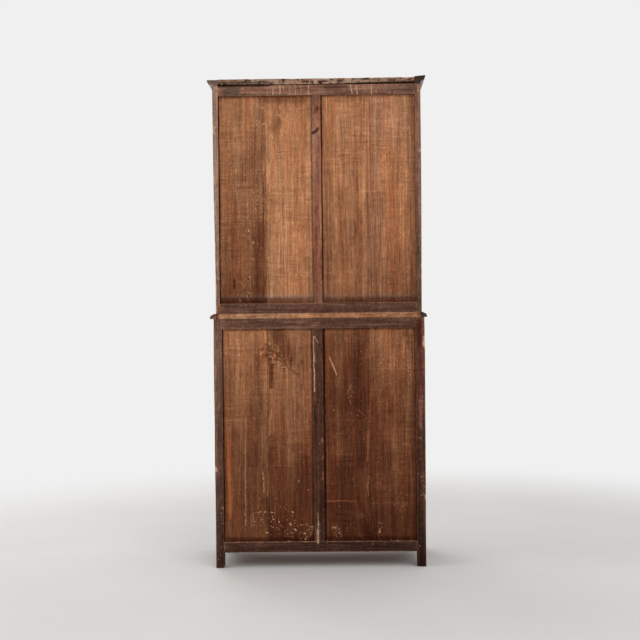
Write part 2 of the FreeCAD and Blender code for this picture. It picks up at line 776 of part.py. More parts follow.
def slide_bolt_bar(front_y, top):
    """The flat bar that slides up behind the front rail, with its round knob."""
    x, bar_top = slide_bolt_place(top)
    bar_y = front_y + door_thickness + bar_plate_thickness + bar_fit
    bar_low = bar_top - bar_above_plate - bar_plate_length - bar_tail - bar_travel
    bar = block(centred(x, bar_width), (bar_y, bar_y + bar_thickness), (bar_low, bar_top))
    knob_z = bar_top - bar_above_plate - bar_plate_length / 2
    neck = cylinder_along(Vector(0, 1, 0), Vector(x, bar_y + bar_thickness - 1, knob_z),
                          bar_knob_radius * 0.6, bar_knob_length)
    button = Part.makeSphere(bar_knob_radius, Vector(x, bar_y + bar_thickness + bar_knob_length, knob_z))
    return bar.fuse(neck).fuse(button).removeSplitter()


def mitred_moulding(path, half, front_y, projection, seat, spring=0.0):
    """A moulding in three mitred lengths: front, left and right, square at the back.

    path is its section as (outward, height) points, measured from the case's outer faces. The left
    length has sprung up at the back by spring.
    """
    level = [p[1] if p[0] != "arc" else p[2][1] for p in path]
    z_range = (min(level) - 1, max(level) + spring + 1)
    tall = Vector(0, 0, z_range[1] - z_range[0])

    def prism(corners):
        points = [Vector(px, py, z_range[0]) for px, py in corners]
        return Part.Face(Part.makePolygon(points + points[:1])).extrude(tall)

    out = half + projection
    front_out = front_y - projection
    inside = half - seat
    front_in = front_y + seat
    front_plan = prism([(-out, front_out), (out, front_out), (inside, front_in), (-inside, front_in)])
    side_plan = prism([(out, front_out), (out, back_y), (inside, back_y), (inside, front_in)])
    front_bar = profile_face(path, lambda a, b: Vector(-out - 1, front_y - a, b))
    front_bar = front_bar.extrude(Vector(2 * out + 2, 0, 0))
    side_face = profile_face(path, lambda a, b: Vector(half + a, front_out, b))
    right = side_face.extrude(Vector(0, back_y - front_out, 0)).common(side_plan)
    left = side_face.extrude(Vector(0, back_y - front_out, spring)).common(side_plan)
    return [front_bar.common(front_plan), mirrored(left), right]


def waist_section():
    """The thumb moulding: a fillet, then a quarter round down to a flat under side."""
    top = waist_level
    low = base_case_top
    nose = waist_projection
    radius = min(base_top_thickness - waist_fillet, waist_projection)
    start = nose - radius
    arc_low = top - waist_fillet - radius
    bend = radius * math.sqrt(0.5)
    return [(-waist_seat, low), (nose, low), (nose, arc_low),
            ("arc", (start + bend, arc_low + bend), (start, top - waist_fillet)),
            (start - 1.0, top - waist_fillet), (start - 1.0, top), (-waist_seat, top)]


def cornice_section():
    """The crown: a lap over the case, an ogee, and a square fillet at the top."""
    low = upper_case_top
    top = total_height
    tip = cornice_projection
    ogee_foot = (cornice_lap_thickness, low - cornice_lap * 0.4)
    ogee_head = (tip - 2.0, top - cornice_fillet)
    middle = ((ogee_foot[0] + ogee_head[0]) / 2, (ogee_foot[1] + ogee_head[1]) / 2)
    run = ogee_head[0] - ogee_foot[0]
    rise = ogee_head[1] - ogee_foot[1]
    bulge = 0.09
    first = (ogee_foot[0] + run / 4 - rise * bulge, ogee_foot[1] + rise / 4 + run * bulge)
    second = (ogee_foot[0] + run * 0.75 + rise * bulge, ogee_foot[1] + rise * 0.75 - run * bulge)
    return [(-cornice_seat, low), (0.0, low), (0.0, low - cornice_lap),
            (cornice_lap_thickness, low - cornice_lap), ogee_foot,
            ("arc", first, middle), ("arc", second, ogee_head),
            (tip, top - cornice_fillet), (tip, top), (-cornice_seat, top)]


def base_boards():
    """The base's floor, shelf, cleats and top, the floor and shelf notched round the posts."""
    inside = base_half - frame_thickness
    back_inner = back_y - frame_thickness
    floor_top = base_door_bottom + floor_stop
    floor_low = floor_top - floor_thickness
    door_back = base_front_y + door_thickness
    post_room = []
    for x0 in (-base_half, base_opening_half):
        for y0 in (base_front_y, back_y - base_post_depth):
            post_room.append(block((x0 - board_fit, x0 + base_post_width + board_fit),
                                   (y0 - board_fit, y0 + base_post_depth + board_fit),
                                   (0, base_case_top)))
    middle = (door_back + back_inner) / 2
    floor = [block((-inside + board_fit, inside - board_fit), y_range, (floor_low, floor_top))
             for y_range in ((door_back + board_fit, middle), (middle, back_inner))]
    shelf_y = base_front_y + shelf_front_setback
    middle = (shelf_y + back_inner) / 2
    shelf_z = (base_shelf_height, base_shelf_height + shelf_thickness)
    shelf = [block((-inside + board_fit, inside - board_fit), y_range, shelf_z)
             for y_range in ((shelf_y, middle), (middle, back_inner))]
    cleats = []
    cleat_y = (base_front_y + base_post_depth, back_y - base_post_depth)
    for under in (floor_low, base_shelf_height):
        for side in (-1, 1):
            cleats.append(block((side * (inside - cleat_width), side * inside), cleat_y,
                                (under - cleat_height, under)))
    top_x = base_half - waist_seat
    top_front = base_front_y + waist_seat
    middle = (top_front + back_y) / 2
    top = [block((-top_x, top_x), y_range, (base_case_top, waist_level))
           for y_range in ((top_front, middle), (middle, back_y))]
    return {"floor": [cut_all(b, post_room) for b in floor], "shelf": [cut_all(b, post_room) for b in shelf],
            "cleats": cleats, "top": top}


def upper_boards():
    """The upper case's floor, shelves, cleats, top boards and the battens that carry them."""
    inside = upper_half - upper_stile_thickness
    back_inner = back_y - frame_thickness
    floor_top = upper_door_bottom + floor_stop
    floor_low = floor_top - floor_thickness
    door_back = upper_front_y + door_thickness
    post_room = [block((side * (upper_opening_half - board_fit), side * (upper_half + 1)),
                       (upper_front_y, upper_front_y + upper_post_depth + board_fit),
                       (waist_level, upper_case_top)) for side in (-1, 1)]
    middle = (door_back + back_inner) / 2
    floor = [block((-inside + board_fit, inside - board_fit), y_range, (floor_low, floor_top))
             for y_range in ((door_back + board_fit, middle), (middle, back_inner))]
    shelf_y = upper_front_y + shelf_front_setback
    middle = (shelf_y + back_inner) / 2
    shelves = []
    for low in (upper_lower_shelf_height, upper_upper_shelf_height):
        shelves += [block((-inside + board_fit, inside - board_fit), y_range, (low, low + shelf_thickness))
                    for y_range in ((shelf_y, middle), (middle, back_inner))]
    cleats = []
    cleat_y = (upper_front_y + upper_post_depth, back_inner)
    for under in (floor_low, upper_lower_shelf_height, upper_upper_shelf_height):
        for side in (-1, 1):
            cleats.append(block((side * (inside - cleat_width), side * inside), cleat_y,
                                (under - cleat_height, under)))
    top_x = upper_half - cornice_seat
    top_front = upper_front_y + cornice_seat
    top_low = total_height - top_board_thickness
    third = (back_y - top_front) / 3
    top = [block((-top_x, top_x), (top_front + n * third, top_front + (n + 1) * third),
                 (top_low, total_height)) for n in range(3)]
    batten_z = (upper_case_top, top_low)
    batten_back = back_y - top_batten_recess
    battens = [block((-top_x, top_x), (batten_back - top_batten_width, batten_back), batten_z)]
    for side in (-1, 1):
        battens.append(block((side * (top_x - top_batten_width), side * top_x),
                             (top_front, batten_back - top_batten_width), batten_z))
    return {"floor": [cut_all(b, post_room) for b in floor], "shelves": shelves, "cleats": cleats,
            "top": top, "battens": battens}


def locating_dowels(spare=0.0):
    """Four dowels that stand in the base top and locate the upper case's front and back rails."""
    half = frame_thickness / 2
    places = [(side * dowel_from_centre, y) for side in (-1, 1)
              for y in (upper_front_y + half, back_y - half)]
    return [cylinder_along(Z_AXIS, Vector(x, y, waist_level - dowel_sunk), dowel_radius + spare,
                           dowel_sunk + dowel_standing + 2 * spare) for x, y in places]


def door_set(case, opening_half, front_y, bottom, top, short_panel_on_top):
    """Both doors of a case with their hinges, lock, key and slide bolt, by node name."""
    left = left_door(opening_half, front_y, bottom, top, short_panel_on_top)
    heights = hinge_places(bottom, top)
    left_leaves = [s for z in heights for s in door_hinge_half(opening_half, front_y, z)]
    case_halves = [s for z in heights for s in case_hinge_half(opening_half, front_y, z)]
    key_x, key_z = key_place(bottom, top)
    right_cuts = lock_screws(front_y, bottom, top, screw_fit)
    right_cuts.append(keyhole(key_x, key_z, (front_y - 1, front_y + door_thickness + 1)))
    right_stiles = [cut_all(mirrored(s), right_cuts) for s in left["stiles"]]
    left_cuts = plate_screws(front_y, top, screw_fit)
    left_stiles = [cut_all(s, left_cuts) for s in left["stiles"]]
    left_rails = [cut_all(s, left_cuts) for s in left["rails"]]
    return {
        case + "_door_left_frame": left_stiles + left_rails + left["pegs"],
        case + "_door_left_panels": left["panels"],
        case + "_door_right_frame": right_stiles + [mirrored(s) for s in left["rails"] + left["pegs"]],
        case + "_door_right_panels": [mirrored(s) for s in left["panels"]],
        case + "_door_left_ironwork": (left_leaves + [slide_bolt_plate(front_y, top)]
                                       + plate_screws(front_y, top)),
        case + "_door_right_hinge_leaves": [mirrored(s) for s in left_leaves],
        case + "_case_hinge_halves": case_halves + [mirrored(s) for s in case_halves],
        case + "_lock_and_escutcheon": ([rim_lock(front_y, bottom, top), escutcheon(front_y, bottom, top)]
                                        + lock_screws(front_y, bottom, top)),
        case + "_lock_bolt": [lock_bolt(front_y, bottom, top)],
        case + "_key": [key(front_y, bottom, top)],
        case + "_slide_bolt": [slide_bolt_bar(front_y, top)],
    }


def base_case():
    """Every fixed piece of the base, by node name."""
    frames = base_frames()
    cuts = [c for f in frames.values() for c in f["cuts"] + f["peg_holes"]]
    pockets = leaf_pockets(base_opening_half, base_front_y,
                           hinge_places(base_door_bottom, base_door_top), False)
    cuts += pockets + [mirrored(p) for p in pockets]
    posts = {}
    for side, x_range in (("left", (-base_half, -base_opening_half)), ("right", (base_opening_half, base_half))):
        for end, y_range in (("front", (base_front_y, base_front_y + base_post_depth)),
                             ("rear", (back_y - base_post_depth, back_y))):
            post = block(x_range, y_range, (0, base_case_top))
            posts["base_post_%s_%s" % (end, side)] = [cut_all(post, cuts)]
    boards = base_boards()
    drilled = {name: [cut_all(s, f["peg_holes"]) for s in f["rails"]] for name, f in frames.items()}
    dowels = locating_dowels()
    holes = locating_dowels(peg_fit)
    back = frames["back"]
    return {
        **posts,
        "base_back_rail_bottom": [drilled["back"][0]],
        "base_back_rail_top": [drilled["back"][1]],
        "base_back_muntin": back["muntins"],
        "base_back_panel_right": back["panels"][0],
        "base_back_panel_left": back["panels"][1],
        "base_side_rails": drilled["left"] + drilled["right"],
        "base_side_panels": frames["left"]["panels"][0] + frames["right"]["panels"][0],
        "base_apron": [apron_shape(drilled["front"][0])],
        "base_front_rail": [drilled["front"][1]],
        "base_floor": boards["floor"],
        "base_shelf": boards["shelf"],
        "base_cleats": boards["cleats"],
        "base_top": [cut_all(b, holes) for b in boards["top"]],
        "waist_moulding": mitred_moulding(waist_section(), base_half, base_front_y,
                                          waist_projection, waist_seat),
        "base_pegs": [p for f in frames.values() for p in f["pegs"]],
        "locating_dowels": dowels,
    }


def upper_case():
    """Every fixed piece of the upper case, by node name."""
    frames = upper_frames()
    cuts = [c for f in frames.values() for c in f["cuts"] + f["peg_holes"]]
    pockets = leaf_pockets(upper_opening_half, upper_front_y,
                           hinge_places(upper_door_bottom, upper_door_top), False)
    cuts += pockets + [mirrored(p) for p in pockets]
    uprights = {}
    for side, sign in (("left", -1), ("right", 1)):
        post = block((sign * upper_opening_half, sign * upper_half),
                     (upper_front_y, upper_front_y + upper_post_depth), (waist_level, upper_case_top))
        stile = block((sign * (upper_half - upper_stile_thickness), sign * upper_half),
                      (back_y - upper_stile_width, back_y), (waist_level, upper_case_top))
        uprights["upper_post_front_" + side] = [cut_all(post, cuts)]
        uprights["upper_stile_rear_" + side] = [cut_all(stile, cuts)]
    boards = upper_boards()
    sockets = locating_dowels(dowel_fit)
    drilled = {name: [cut_all(s, f["peg_holes"] + sockets) for s in f["rails"]]
               for name, f in frames.items()}
    back = frames["back"]
    return {
        **uprights,
        "upper_back_rail_bottom": [drilled["back"][0]],
        "upper_back_rail_top": [drilled["back"][1]],
        "upper_back_muntin": back["muntins"],
        "upper_back_panel_right": back["panels"][0],
        "upper_back_panel_left": back["panels"][1],
        "upper_side_rails": drilled["left"] + drilled["right"],
        "upper_side_panels": frames["left"]["panels"][0] + frames["right"]["panels"][0],
        "upper_front_rails": drilled["front"],
        "upper_floor": boards["floor"],
        "upper_shelves": boards["shelves"],
        "upper_cleats": boards["cleats"] + boards["battens"],
        "upper_top": boards["top"],
        "cornice": mitred_moulding(cornice_section(), upper_half, upper_front_y,
                                   cornice_projection, cornice_seat, cornice_spring),
        "upper_pegs": [p for f in frames.values() for p in f["pegs"]],
    }


def main():
    """Builds every node and writes it to parts/NODE.step."""
    nodes = {**base_case(), **upper_case()}
    nodes.update(door_set("base", base_opening_half, base_front_y, base_door_bottom, base_door_top, True))
    nodes.update(door_set("upper", upper_opening_half, upper_front_y, upper_door_bottom,
                          upper_door_top, False))
    os.makedirs("parts", exist_ok=True)
    for name, shapes in nodes.items():
        Part.makeCompound(solids_of(shapes)).exportStep("parts/%s.step" % name)
    print(len(nodes), "nodes,", total_height, "mm tall")


main()
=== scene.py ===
"""The two-part cupboard's looks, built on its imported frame.

The boards of both backs, the top boards, the mouldings and the worn edges are surfaces worked out here.
The other boards keep their joinery and get their own grain, and the ironwork keeps its solids.
Lengths are metres; X is to the right of someone facing the doors, Y to the back and Z up.
"""

import json
import math
import zlib

import bmesh
import bpy
import numpy as np
from bpy.props import FloatProperty, FloatVectorProperty, PointerProperty
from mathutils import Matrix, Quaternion, Vector

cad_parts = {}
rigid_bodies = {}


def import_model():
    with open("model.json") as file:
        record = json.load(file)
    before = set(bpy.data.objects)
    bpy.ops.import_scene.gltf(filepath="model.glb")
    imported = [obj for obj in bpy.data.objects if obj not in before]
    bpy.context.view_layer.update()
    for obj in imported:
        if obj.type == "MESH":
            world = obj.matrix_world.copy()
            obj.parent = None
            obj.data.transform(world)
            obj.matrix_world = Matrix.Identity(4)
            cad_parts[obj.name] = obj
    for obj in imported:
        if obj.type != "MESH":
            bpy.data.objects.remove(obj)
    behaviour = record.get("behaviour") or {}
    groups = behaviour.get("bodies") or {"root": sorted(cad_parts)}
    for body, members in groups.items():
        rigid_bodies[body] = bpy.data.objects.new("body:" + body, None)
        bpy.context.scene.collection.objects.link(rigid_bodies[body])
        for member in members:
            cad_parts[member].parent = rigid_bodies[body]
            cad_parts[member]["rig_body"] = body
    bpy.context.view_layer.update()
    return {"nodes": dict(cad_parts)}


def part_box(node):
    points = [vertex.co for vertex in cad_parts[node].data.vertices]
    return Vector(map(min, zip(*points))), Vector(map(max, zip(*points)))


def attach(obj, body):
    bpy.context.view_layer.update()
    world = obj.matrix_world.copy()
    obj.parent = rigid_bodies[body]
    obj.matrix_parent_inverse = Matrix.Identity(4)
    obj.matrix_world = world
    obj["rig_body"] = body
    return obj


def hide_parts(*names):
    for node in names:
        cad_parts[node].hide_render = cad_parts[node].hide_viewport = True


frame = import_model()

bl_info = {
    "name": "Two-part cupboard",
    "version": (1, 0, 0),
    "blender": (4, 5, 0),
    "location": "3D View > Sidebar > Cupboard",
    "description": "Builds an old two-part cupboard's worn boards, mouldings and finishes",
    "category": "Object",
}

MM = 0.001
LATTICE = 64  # how many random values the noise is blended from, each way
SHIFT = 3.0  # the most that a board's grain is moved at random, in metres
FAR = 9.0  # farther out than any point of the cupboard, in metres
# Angles in degrees: past which an edge of a worn board or of a joinery board stays sharp, past which an
# edge gets its bevel, and up to which two faces count as flat
SHARP_WORN, SHARP_JOINERY, BEVELLED, FLAT = 40, 25, 35, 0.5


# The values that a user would change

def linear(red, green, blue):
    """A colour given as screen values from 0 to 255, as Blender's linear values."""
    return tuple(((c / 255 + 0.055) / 1.055) ** 2.4 if c > 10 else c / 255 / 12.92
                 for c in (red, green, blue))


def swatch(name, description, red, green, blue):
    """A colour property whose default is given in screen values."""
    return FloatVectorProperty(name=name, description=description, subtype="COLOR", size=3,
                               min=0.0, max=1.0, default=linear(red, green, blue))


def amount(name, description, default, **more):
    """A number property."""
    return FloatProperty(name=name, description=description, default=default, **more)


def length(name, description, default):
    """A length property in metres."""
    return amount(name, description, default, min=0.0, max=10.0, precision=5, unit="LENGTH")


class CupboardWear(bpy.types.PropertyGroup):
    """How far age has worn the boards."""

    arris: length("Arris", "Radius to which a board's edges are rubbed", 0.9 * MM)
    chip: length("Chip", "How deep the small chips in an edge are", 2.6 * MM)
    wave: length("Wave", "How far a board's faces are from flat", 0.5 * MM)
    saw: length("Saw marks", "Depth of the saw marks across the back panels", 0.16 * MM)
    cup: length("Cup", "How far a panel board has hollowed across its width", 0.8 * MM)
    bevel: length("Arris bevel", "Bevel on the edges of the boards that keep their joinery", 0.7 * MM)
    section: length("Section spacing", "Spacing of the sections along a worn board", 3.0 * MM)
    grid: length("Panel grid", "Spacing of the points on a back panel", 2.3 * MM)
    gap_depth: length("Gap depth", "Depth of the open joint beside a shrunken panel", 13.0 * MM)


class CupboardColours(bpy.types.PropertyGroup):
    """The colours of the woods and metals."""

    frame_dark: swatch("Back frame, dark", "Darkest stain on the back's frames", 32, 11, 5)
    frame_light: swatch("Back frame, light", "Palest stain on the back's frames", 180, 128, 102)
    panel_dark: swatch("Back panel, dark", "Darkest tone of the back's panels", 50, 11, 1)
    panel_light: swatch("Back panel, light", "Palest tone of the back's panels", 202, 138, 95)
    raw_dark: swatch("Bare wood, dark", "Darkest tone of the bare wood inside", 92, 60, 38)
    raw_light: swatch("Bare wood, light", "Palest tone of the bare wood inside", 186, 140, 98)
    finish_dark: swatch("Finish, dark", "Darkest tone of the old shellac outside", 44, 20, 12)
    finish_light: swatch("Finish, light", "Palest tone of the old shellac outside", 142, 84, 50)
    orange: swatch("Orange streak", "Sap streaks in the back's panels", 174, 93, 51)
    red: swatch("Red streak", "Reddish heartwood in the back's frames", 138, 70, 50)
    scratch: swatch("Fresh wood", "Wood laid open by scratches and chips", 214, 178, 140)
    dust: swatch("Dust", "Dust and weathered grey wood", 160, 141, 128)
    iron: swatch("Iron", "Dark forged iron", 74, 68, 64)
    rust: swatch("Rust", "Rust in the iron's hollows", 92, 52, 32)
    brass: swatch("Brass", "Worn brass of the escutcheons", 190, 146, 78)
    tarnish: swatch("Tarnish", "Brown tarnish on the brass", 92, 68, 40)
    floor: swatch("Floor", "The pale floor under the cupboard", 226, 224, 221)
    backdrop: swatch("Backdrop", "The pale backdrop that a camera sees", 240, 240, 240)


class CupboardView(bpy.types.PropertyGroup):
    """Where the camera stands, and how strong the lamps are."""

    sideways: amount("Camera across", "Camera place along X", -0.0706, unit="LENGTH")
    height: amount("Camera height", "Camera place along Z", 1.0631, unit="LENGTH")
    distance: amount("Camera distance", "From the back's face to the camera", 5.1989, unit="LENGTH")
    yaw: amount("Yaw", "Turn of the view towards +X", math.radians(0.70), subtype="ANGLE")
    pitch: amount("Pitch", "Tilt of the view upwards", math.radians(0.087), subtype="ANGLE")
    roll: amount("Roll", "Turn of the picture", math.radians(-0.591), subtype="ANGLE")
    lens: amount("Lens", "Focal length in millimetres", 67.5)
    room: amount("Even light", "Strength of the light from all round", 0.62)
    lamp: amount("Lamps", "Strength of the three soft lamps", 1.0)


# Shapes

# Which of X, Y and Z runs along, across and through a board that lies in each direction
ALONG = {"x": (0, 2, 1), "z": (2, 0, 1)}
# The corners of a board's section, as signs across and through it
CORNERS = ((1, 1), (-1, 1), (-1, -1), (1, -1))
CORNER_POINTS = 4
END_CUT = 0.8 * MM  # how far a worn board's ends are rubbed in
# The numbers from 0 to 1 that each point of a board gives to its material
FIELDS = ("tone", "pale", "red", "grey", "finish")


def ripple(u, v, seed, octaves=3):
    """Smooth noise from 0 to 1: random values on a unit lattice, blended by smoothstep, summed in octaves."""
    u, v = np.broadcast_arrays(np.asarray(u, float), np.asarray(v, float))
    total, weight, share = 0.0, 0.0, 1.0
    for octave in range(octaves):
        lattice = np.random.default_rng(seed + 101 * octave).random((LATTICE, LATTICE))
        a, b = u * 2 ** octave, v * 2 ** octave
        i, j = np.floor(a).astype(int), np.floor(b).astype(int)
        f, g = a - i, b - j
        f, g = f * f * (3 - 2 * f), g * g * (3 - 2 * g)
        i0, i1, j0, j1 = i % LATTICE, (i + 1) % LATTICE, j % LATTICE, (j + 1) % LATTICE
        near = lattice[i0, j0] * (1 - f) + lattice[i1, j0] * f
        far = lattice[i0, j1] * (1 - f) + lattice[i1, j1] * f
        total = total + (near * (1 - g) + far * g) * share
        weight += share
        share *= 0.5
    return total / weight


def eased(value, start, end):
    """0 before start and 1 after end, with a smooth step between; start may be the larger."""
    t = np.clip((np.asarray(value, float) - start) / (end - start), 0, 1)
    return t * t * (3 - 2 * t)


def seed_of(name):
    """A fixed seed made from a name."""
    return zlib.crc32(name.encode()) % 100000


def ring_quads(stations, around):
    """The numbers of the points in one closed ring, and the quads that join each ring to the next."""
    ring = np.arange(around)
    after = (ring + 1) % around
    step = (np.arange(stations - 1) * around)[:, None]
    quads = np.stack([step + ring, step + after, step + around + after, step + around + ring], -1)
    return ring, quads.reshape(-1, 4)


class Boards:
    """The boards of one piece, gathered until they become its mesh."""

    def __init__(self):
        self.points, self.faces, self.vectors = [], [], {"board": [], "half": [], "shift": []}
        self.fields = {name: [] for name in FIELDS}
        self.count = 0

    def add(self, sections, local, half, seed, **fields):
        """Adds one closed board from its sections, an array of stations by points by three.

        Neighbouring sections are joined by quads and each end is one face; the whole is turned
        outwards if its volume comes out negative. local and half are its points and its half sizes along,
        across and through it, and fields are its masks, each one number or one for every point.
        """
        stations, around = sections.shape[:2]
        ring, quads = ring_quads(stations, around)
        caps = np.stack([ring[::-1], ring + (stations - 1) * around])
        points = sections.reshape(-1, 3)
        a, b, c, d = (points[quads[:, k]] for k in range(4))
        if np.einsum("ij,ij->", np.cross(a, b), c) + np.einsum("ij,ij->", np.cross(a, c), d) < 0:
            quads, caps = quads[:, ::-1], caps[:, ::-1]
        self.points.append(points)
        self.faces += [quads + self.count, caps + self.count]
        self.vectors["board"].append(np.asarray(local).reshape(-1, 3))
        self.vectors["half"].append(np.broadcast_to(half, points.shape))
        shift = np.random.default_rng(seed).uniform(-SHIFT, SHIFT, 3)
        self.vectors["shift"].append(np.broadcast_to(shift, points.shape))
        for name in FIELDS:
            value = np.broadcast_to(fields.get(name, 0.0), sections.shape[:2])
            self.fields[name].append(value.reshape(-1))
        self.count += len(points)

    def mesh(self, name):
        """The gathered boards as one mesh, with what the materials read."""
        mesh = mesh_of(name, np.concatenate(self.points), self.faces)
        for key, values in self.vectors.items():
            put(mesh, key, np.concatenate(values))
        for key, values in self.fields.items():
            put(mesh, key, np.concatenate(values))
        return mesh


def mesh_of(name, points, faces):
    """A mesh from its points and a list of face arrays, each with faces of one size."""
    mesh = bpy.data.meshes.new(name)
    sizes = np.concatenate([np.full(len(f), f.shape[1]) for f in faces])
    corners = np.concatenate([np.ravel(f) for f in faces])
    mesh.vertices.add(len(points))
    mesh.vertices.foreach_set("co", np.ravel(points).astype(np.float32))
    mesh.loops.add(len(corners))
    mesh.loops.foreach_set("vertex_index", corners.astype(np.int32))
    mesh.polygons.add(len(sizes))
    mesh.polygons.foreach_set("loop_start", np.concatenate([[0], np.cumsum(sizes)[:-1]]).astype(np.int32))
    mesh.update(calc_edges=True)
    smooth(mesh, SHARP_WORN)
    return mesh


def values_of(collection, key, width=1, kind=np.float32):
    """One value of every item of a collection, as an array with a row for each item."""
    values = np.zeros(len(collection) * width, kind)
    collection.foreach_get(key, values)
    return values.reshape(-1, width) if width > 1 else values


def smooth(mesh, degrees):
    """Smooth shading, with edges sharper than an angle left sharp."""
    mesh.polygons.foreach_set("use_smooth", np.ones(len(mesh.polygons), bool))
    mesh.set_sharp_from_angle(angle=math.radians(degrees))


def put(mesh, name, values, domain="POINT"):
    """Stores an array of numbers or of vectors on a mesh."""
    values = np.asarray(values, np.float32)
    kind, field = ("FLOAT_VECTOR", "vector") if values.ndim == 2 else ("FLOAT", "value")
    mesh.attributes.new(name, kind, domain).data.foreach_set(field, values.ravel())


def rounded_section(half_across, half_through, spacing):
    """The points round a rounded rectangle, so that its corner radius r may differ at every section.

    A point lies at t * (half - r) + a * r in each of the two directions, where t runs from -1 to 1
    along the sides and a is the outward direction. blend says how far a point is between two corners.
    """
    rows = []
    for k, (p, q) in enumerate(CORNERS):
        following = (k + 1) % len(CORNERS)
        p1, q1 = CORNERS[following]
        start = math.atan2(q, p) - math.pi / 4
        for angle in np.linspace(start, start + math.pi / 2, CORNER_POINTS):
            rows.append((p, q, math.cos(angle), math.sin(angle), k, following, 0.0, 1.0))
        side = half_across if p != p1 else half_through
        steps = max(2, int(2 * side / spacing))
        for f in np.linspace(0, 1, steps + 1)[1:-1]:
            rows.append((p + (p1 - p) * f, q + (q1 - q) * f, math.cos(start + math.pi / 2),
                         math.sin(start + math.pi / 2), k, following, f, 0.0))
    return np.array(rows)


def worn_board(low, high, axis, seed, spacing=None, chips=()):
    """A board as a rounded rectangle carried along its length, rubbed and chipped.

    The corner radius is the arris radius times slow noise plus small chips where fast noise peaks, and
    the faces go in by the wave times noise. chips are larger ones, each given by its place and its reach
    along the board, its corner and its radius.
    Returns the sections, the points in the board's own axes, its half sizes and a mask of the chips.
    """
    wear = bpy.context.scene.cupboard_wear
    order = list(ALONG[axis])
    low, high = np.array(low)[order], np.array(high)[order]
    centre, half = (low + high) / 2, (high - low) / 2
    rub_length, chip_length, break_length, wave_length = 0.05, 0.014, 0.008, 0.09
    inner = np.linspace(-half[0] + END_CUT, half[0] - END_CUT, max(3, int(2 * half[0] / wear.section)))
    along = np.concatenate([[-half[0]], inner, [half[0]]])[:, None]
    squeeze = np.zeros_like(along)
    squeeze[0] = squeeze[-1] = END_CUT
    template = rounded_section(half[1], half[2], spacing or 1.2 * wear.section)
    tp, tq, ap, aq, first, second, blend, corner = template.T
    radii = []
    for k in range(len(CORNERS)):
        radius = wear.arris * (0.5 + ripple(along / rub_length, 7.3 * k + 0.5, seed))
        radius = radius + wear.chip * eased(ripple(along / chip_length, 3.1 * k + 0.2, seed + 5), 0.70, 0.9)
        for place, reach, where, size in chips:
            if where == k:
                bump = eased(np.abs(along + centre[0] - place), reach, reach * 0.45)
                broken = 0.6 + 0.7 * ripple(along / break_length, 0.3, seed + 7)
                radius = np.maximum(radius, size * bump * broken)
        radii.append(np.minimum(radius, 0.9 * min(half[1], half[2])))
    radii = np.concatenate(radii, axis=1)
    radius = radii[:, first.astype(int)] * (1 - blend) + radii[:, second.astype(int)] * blend
    across = tp * (half[1] - squeeze - radius)
    through = tq * (half[2] - squeeze - radius)
    inward = wear.wave * ripple(along / wave_length, across * 21 + through * 13, seed + 9)
    across = across + ap * (radius - inward)
    through = through + aq * (radius - inward)
    local = np.stack([np.broadcast_to(along, across.shape), across, through], -1)
    sections = np.zeros_like(local)
    sections[..., order] = local + centre
    chipped = eased(radius, wear.arris * 1.7, wear.arris + wear.chip) * corner
    return sections, local, half, chipped


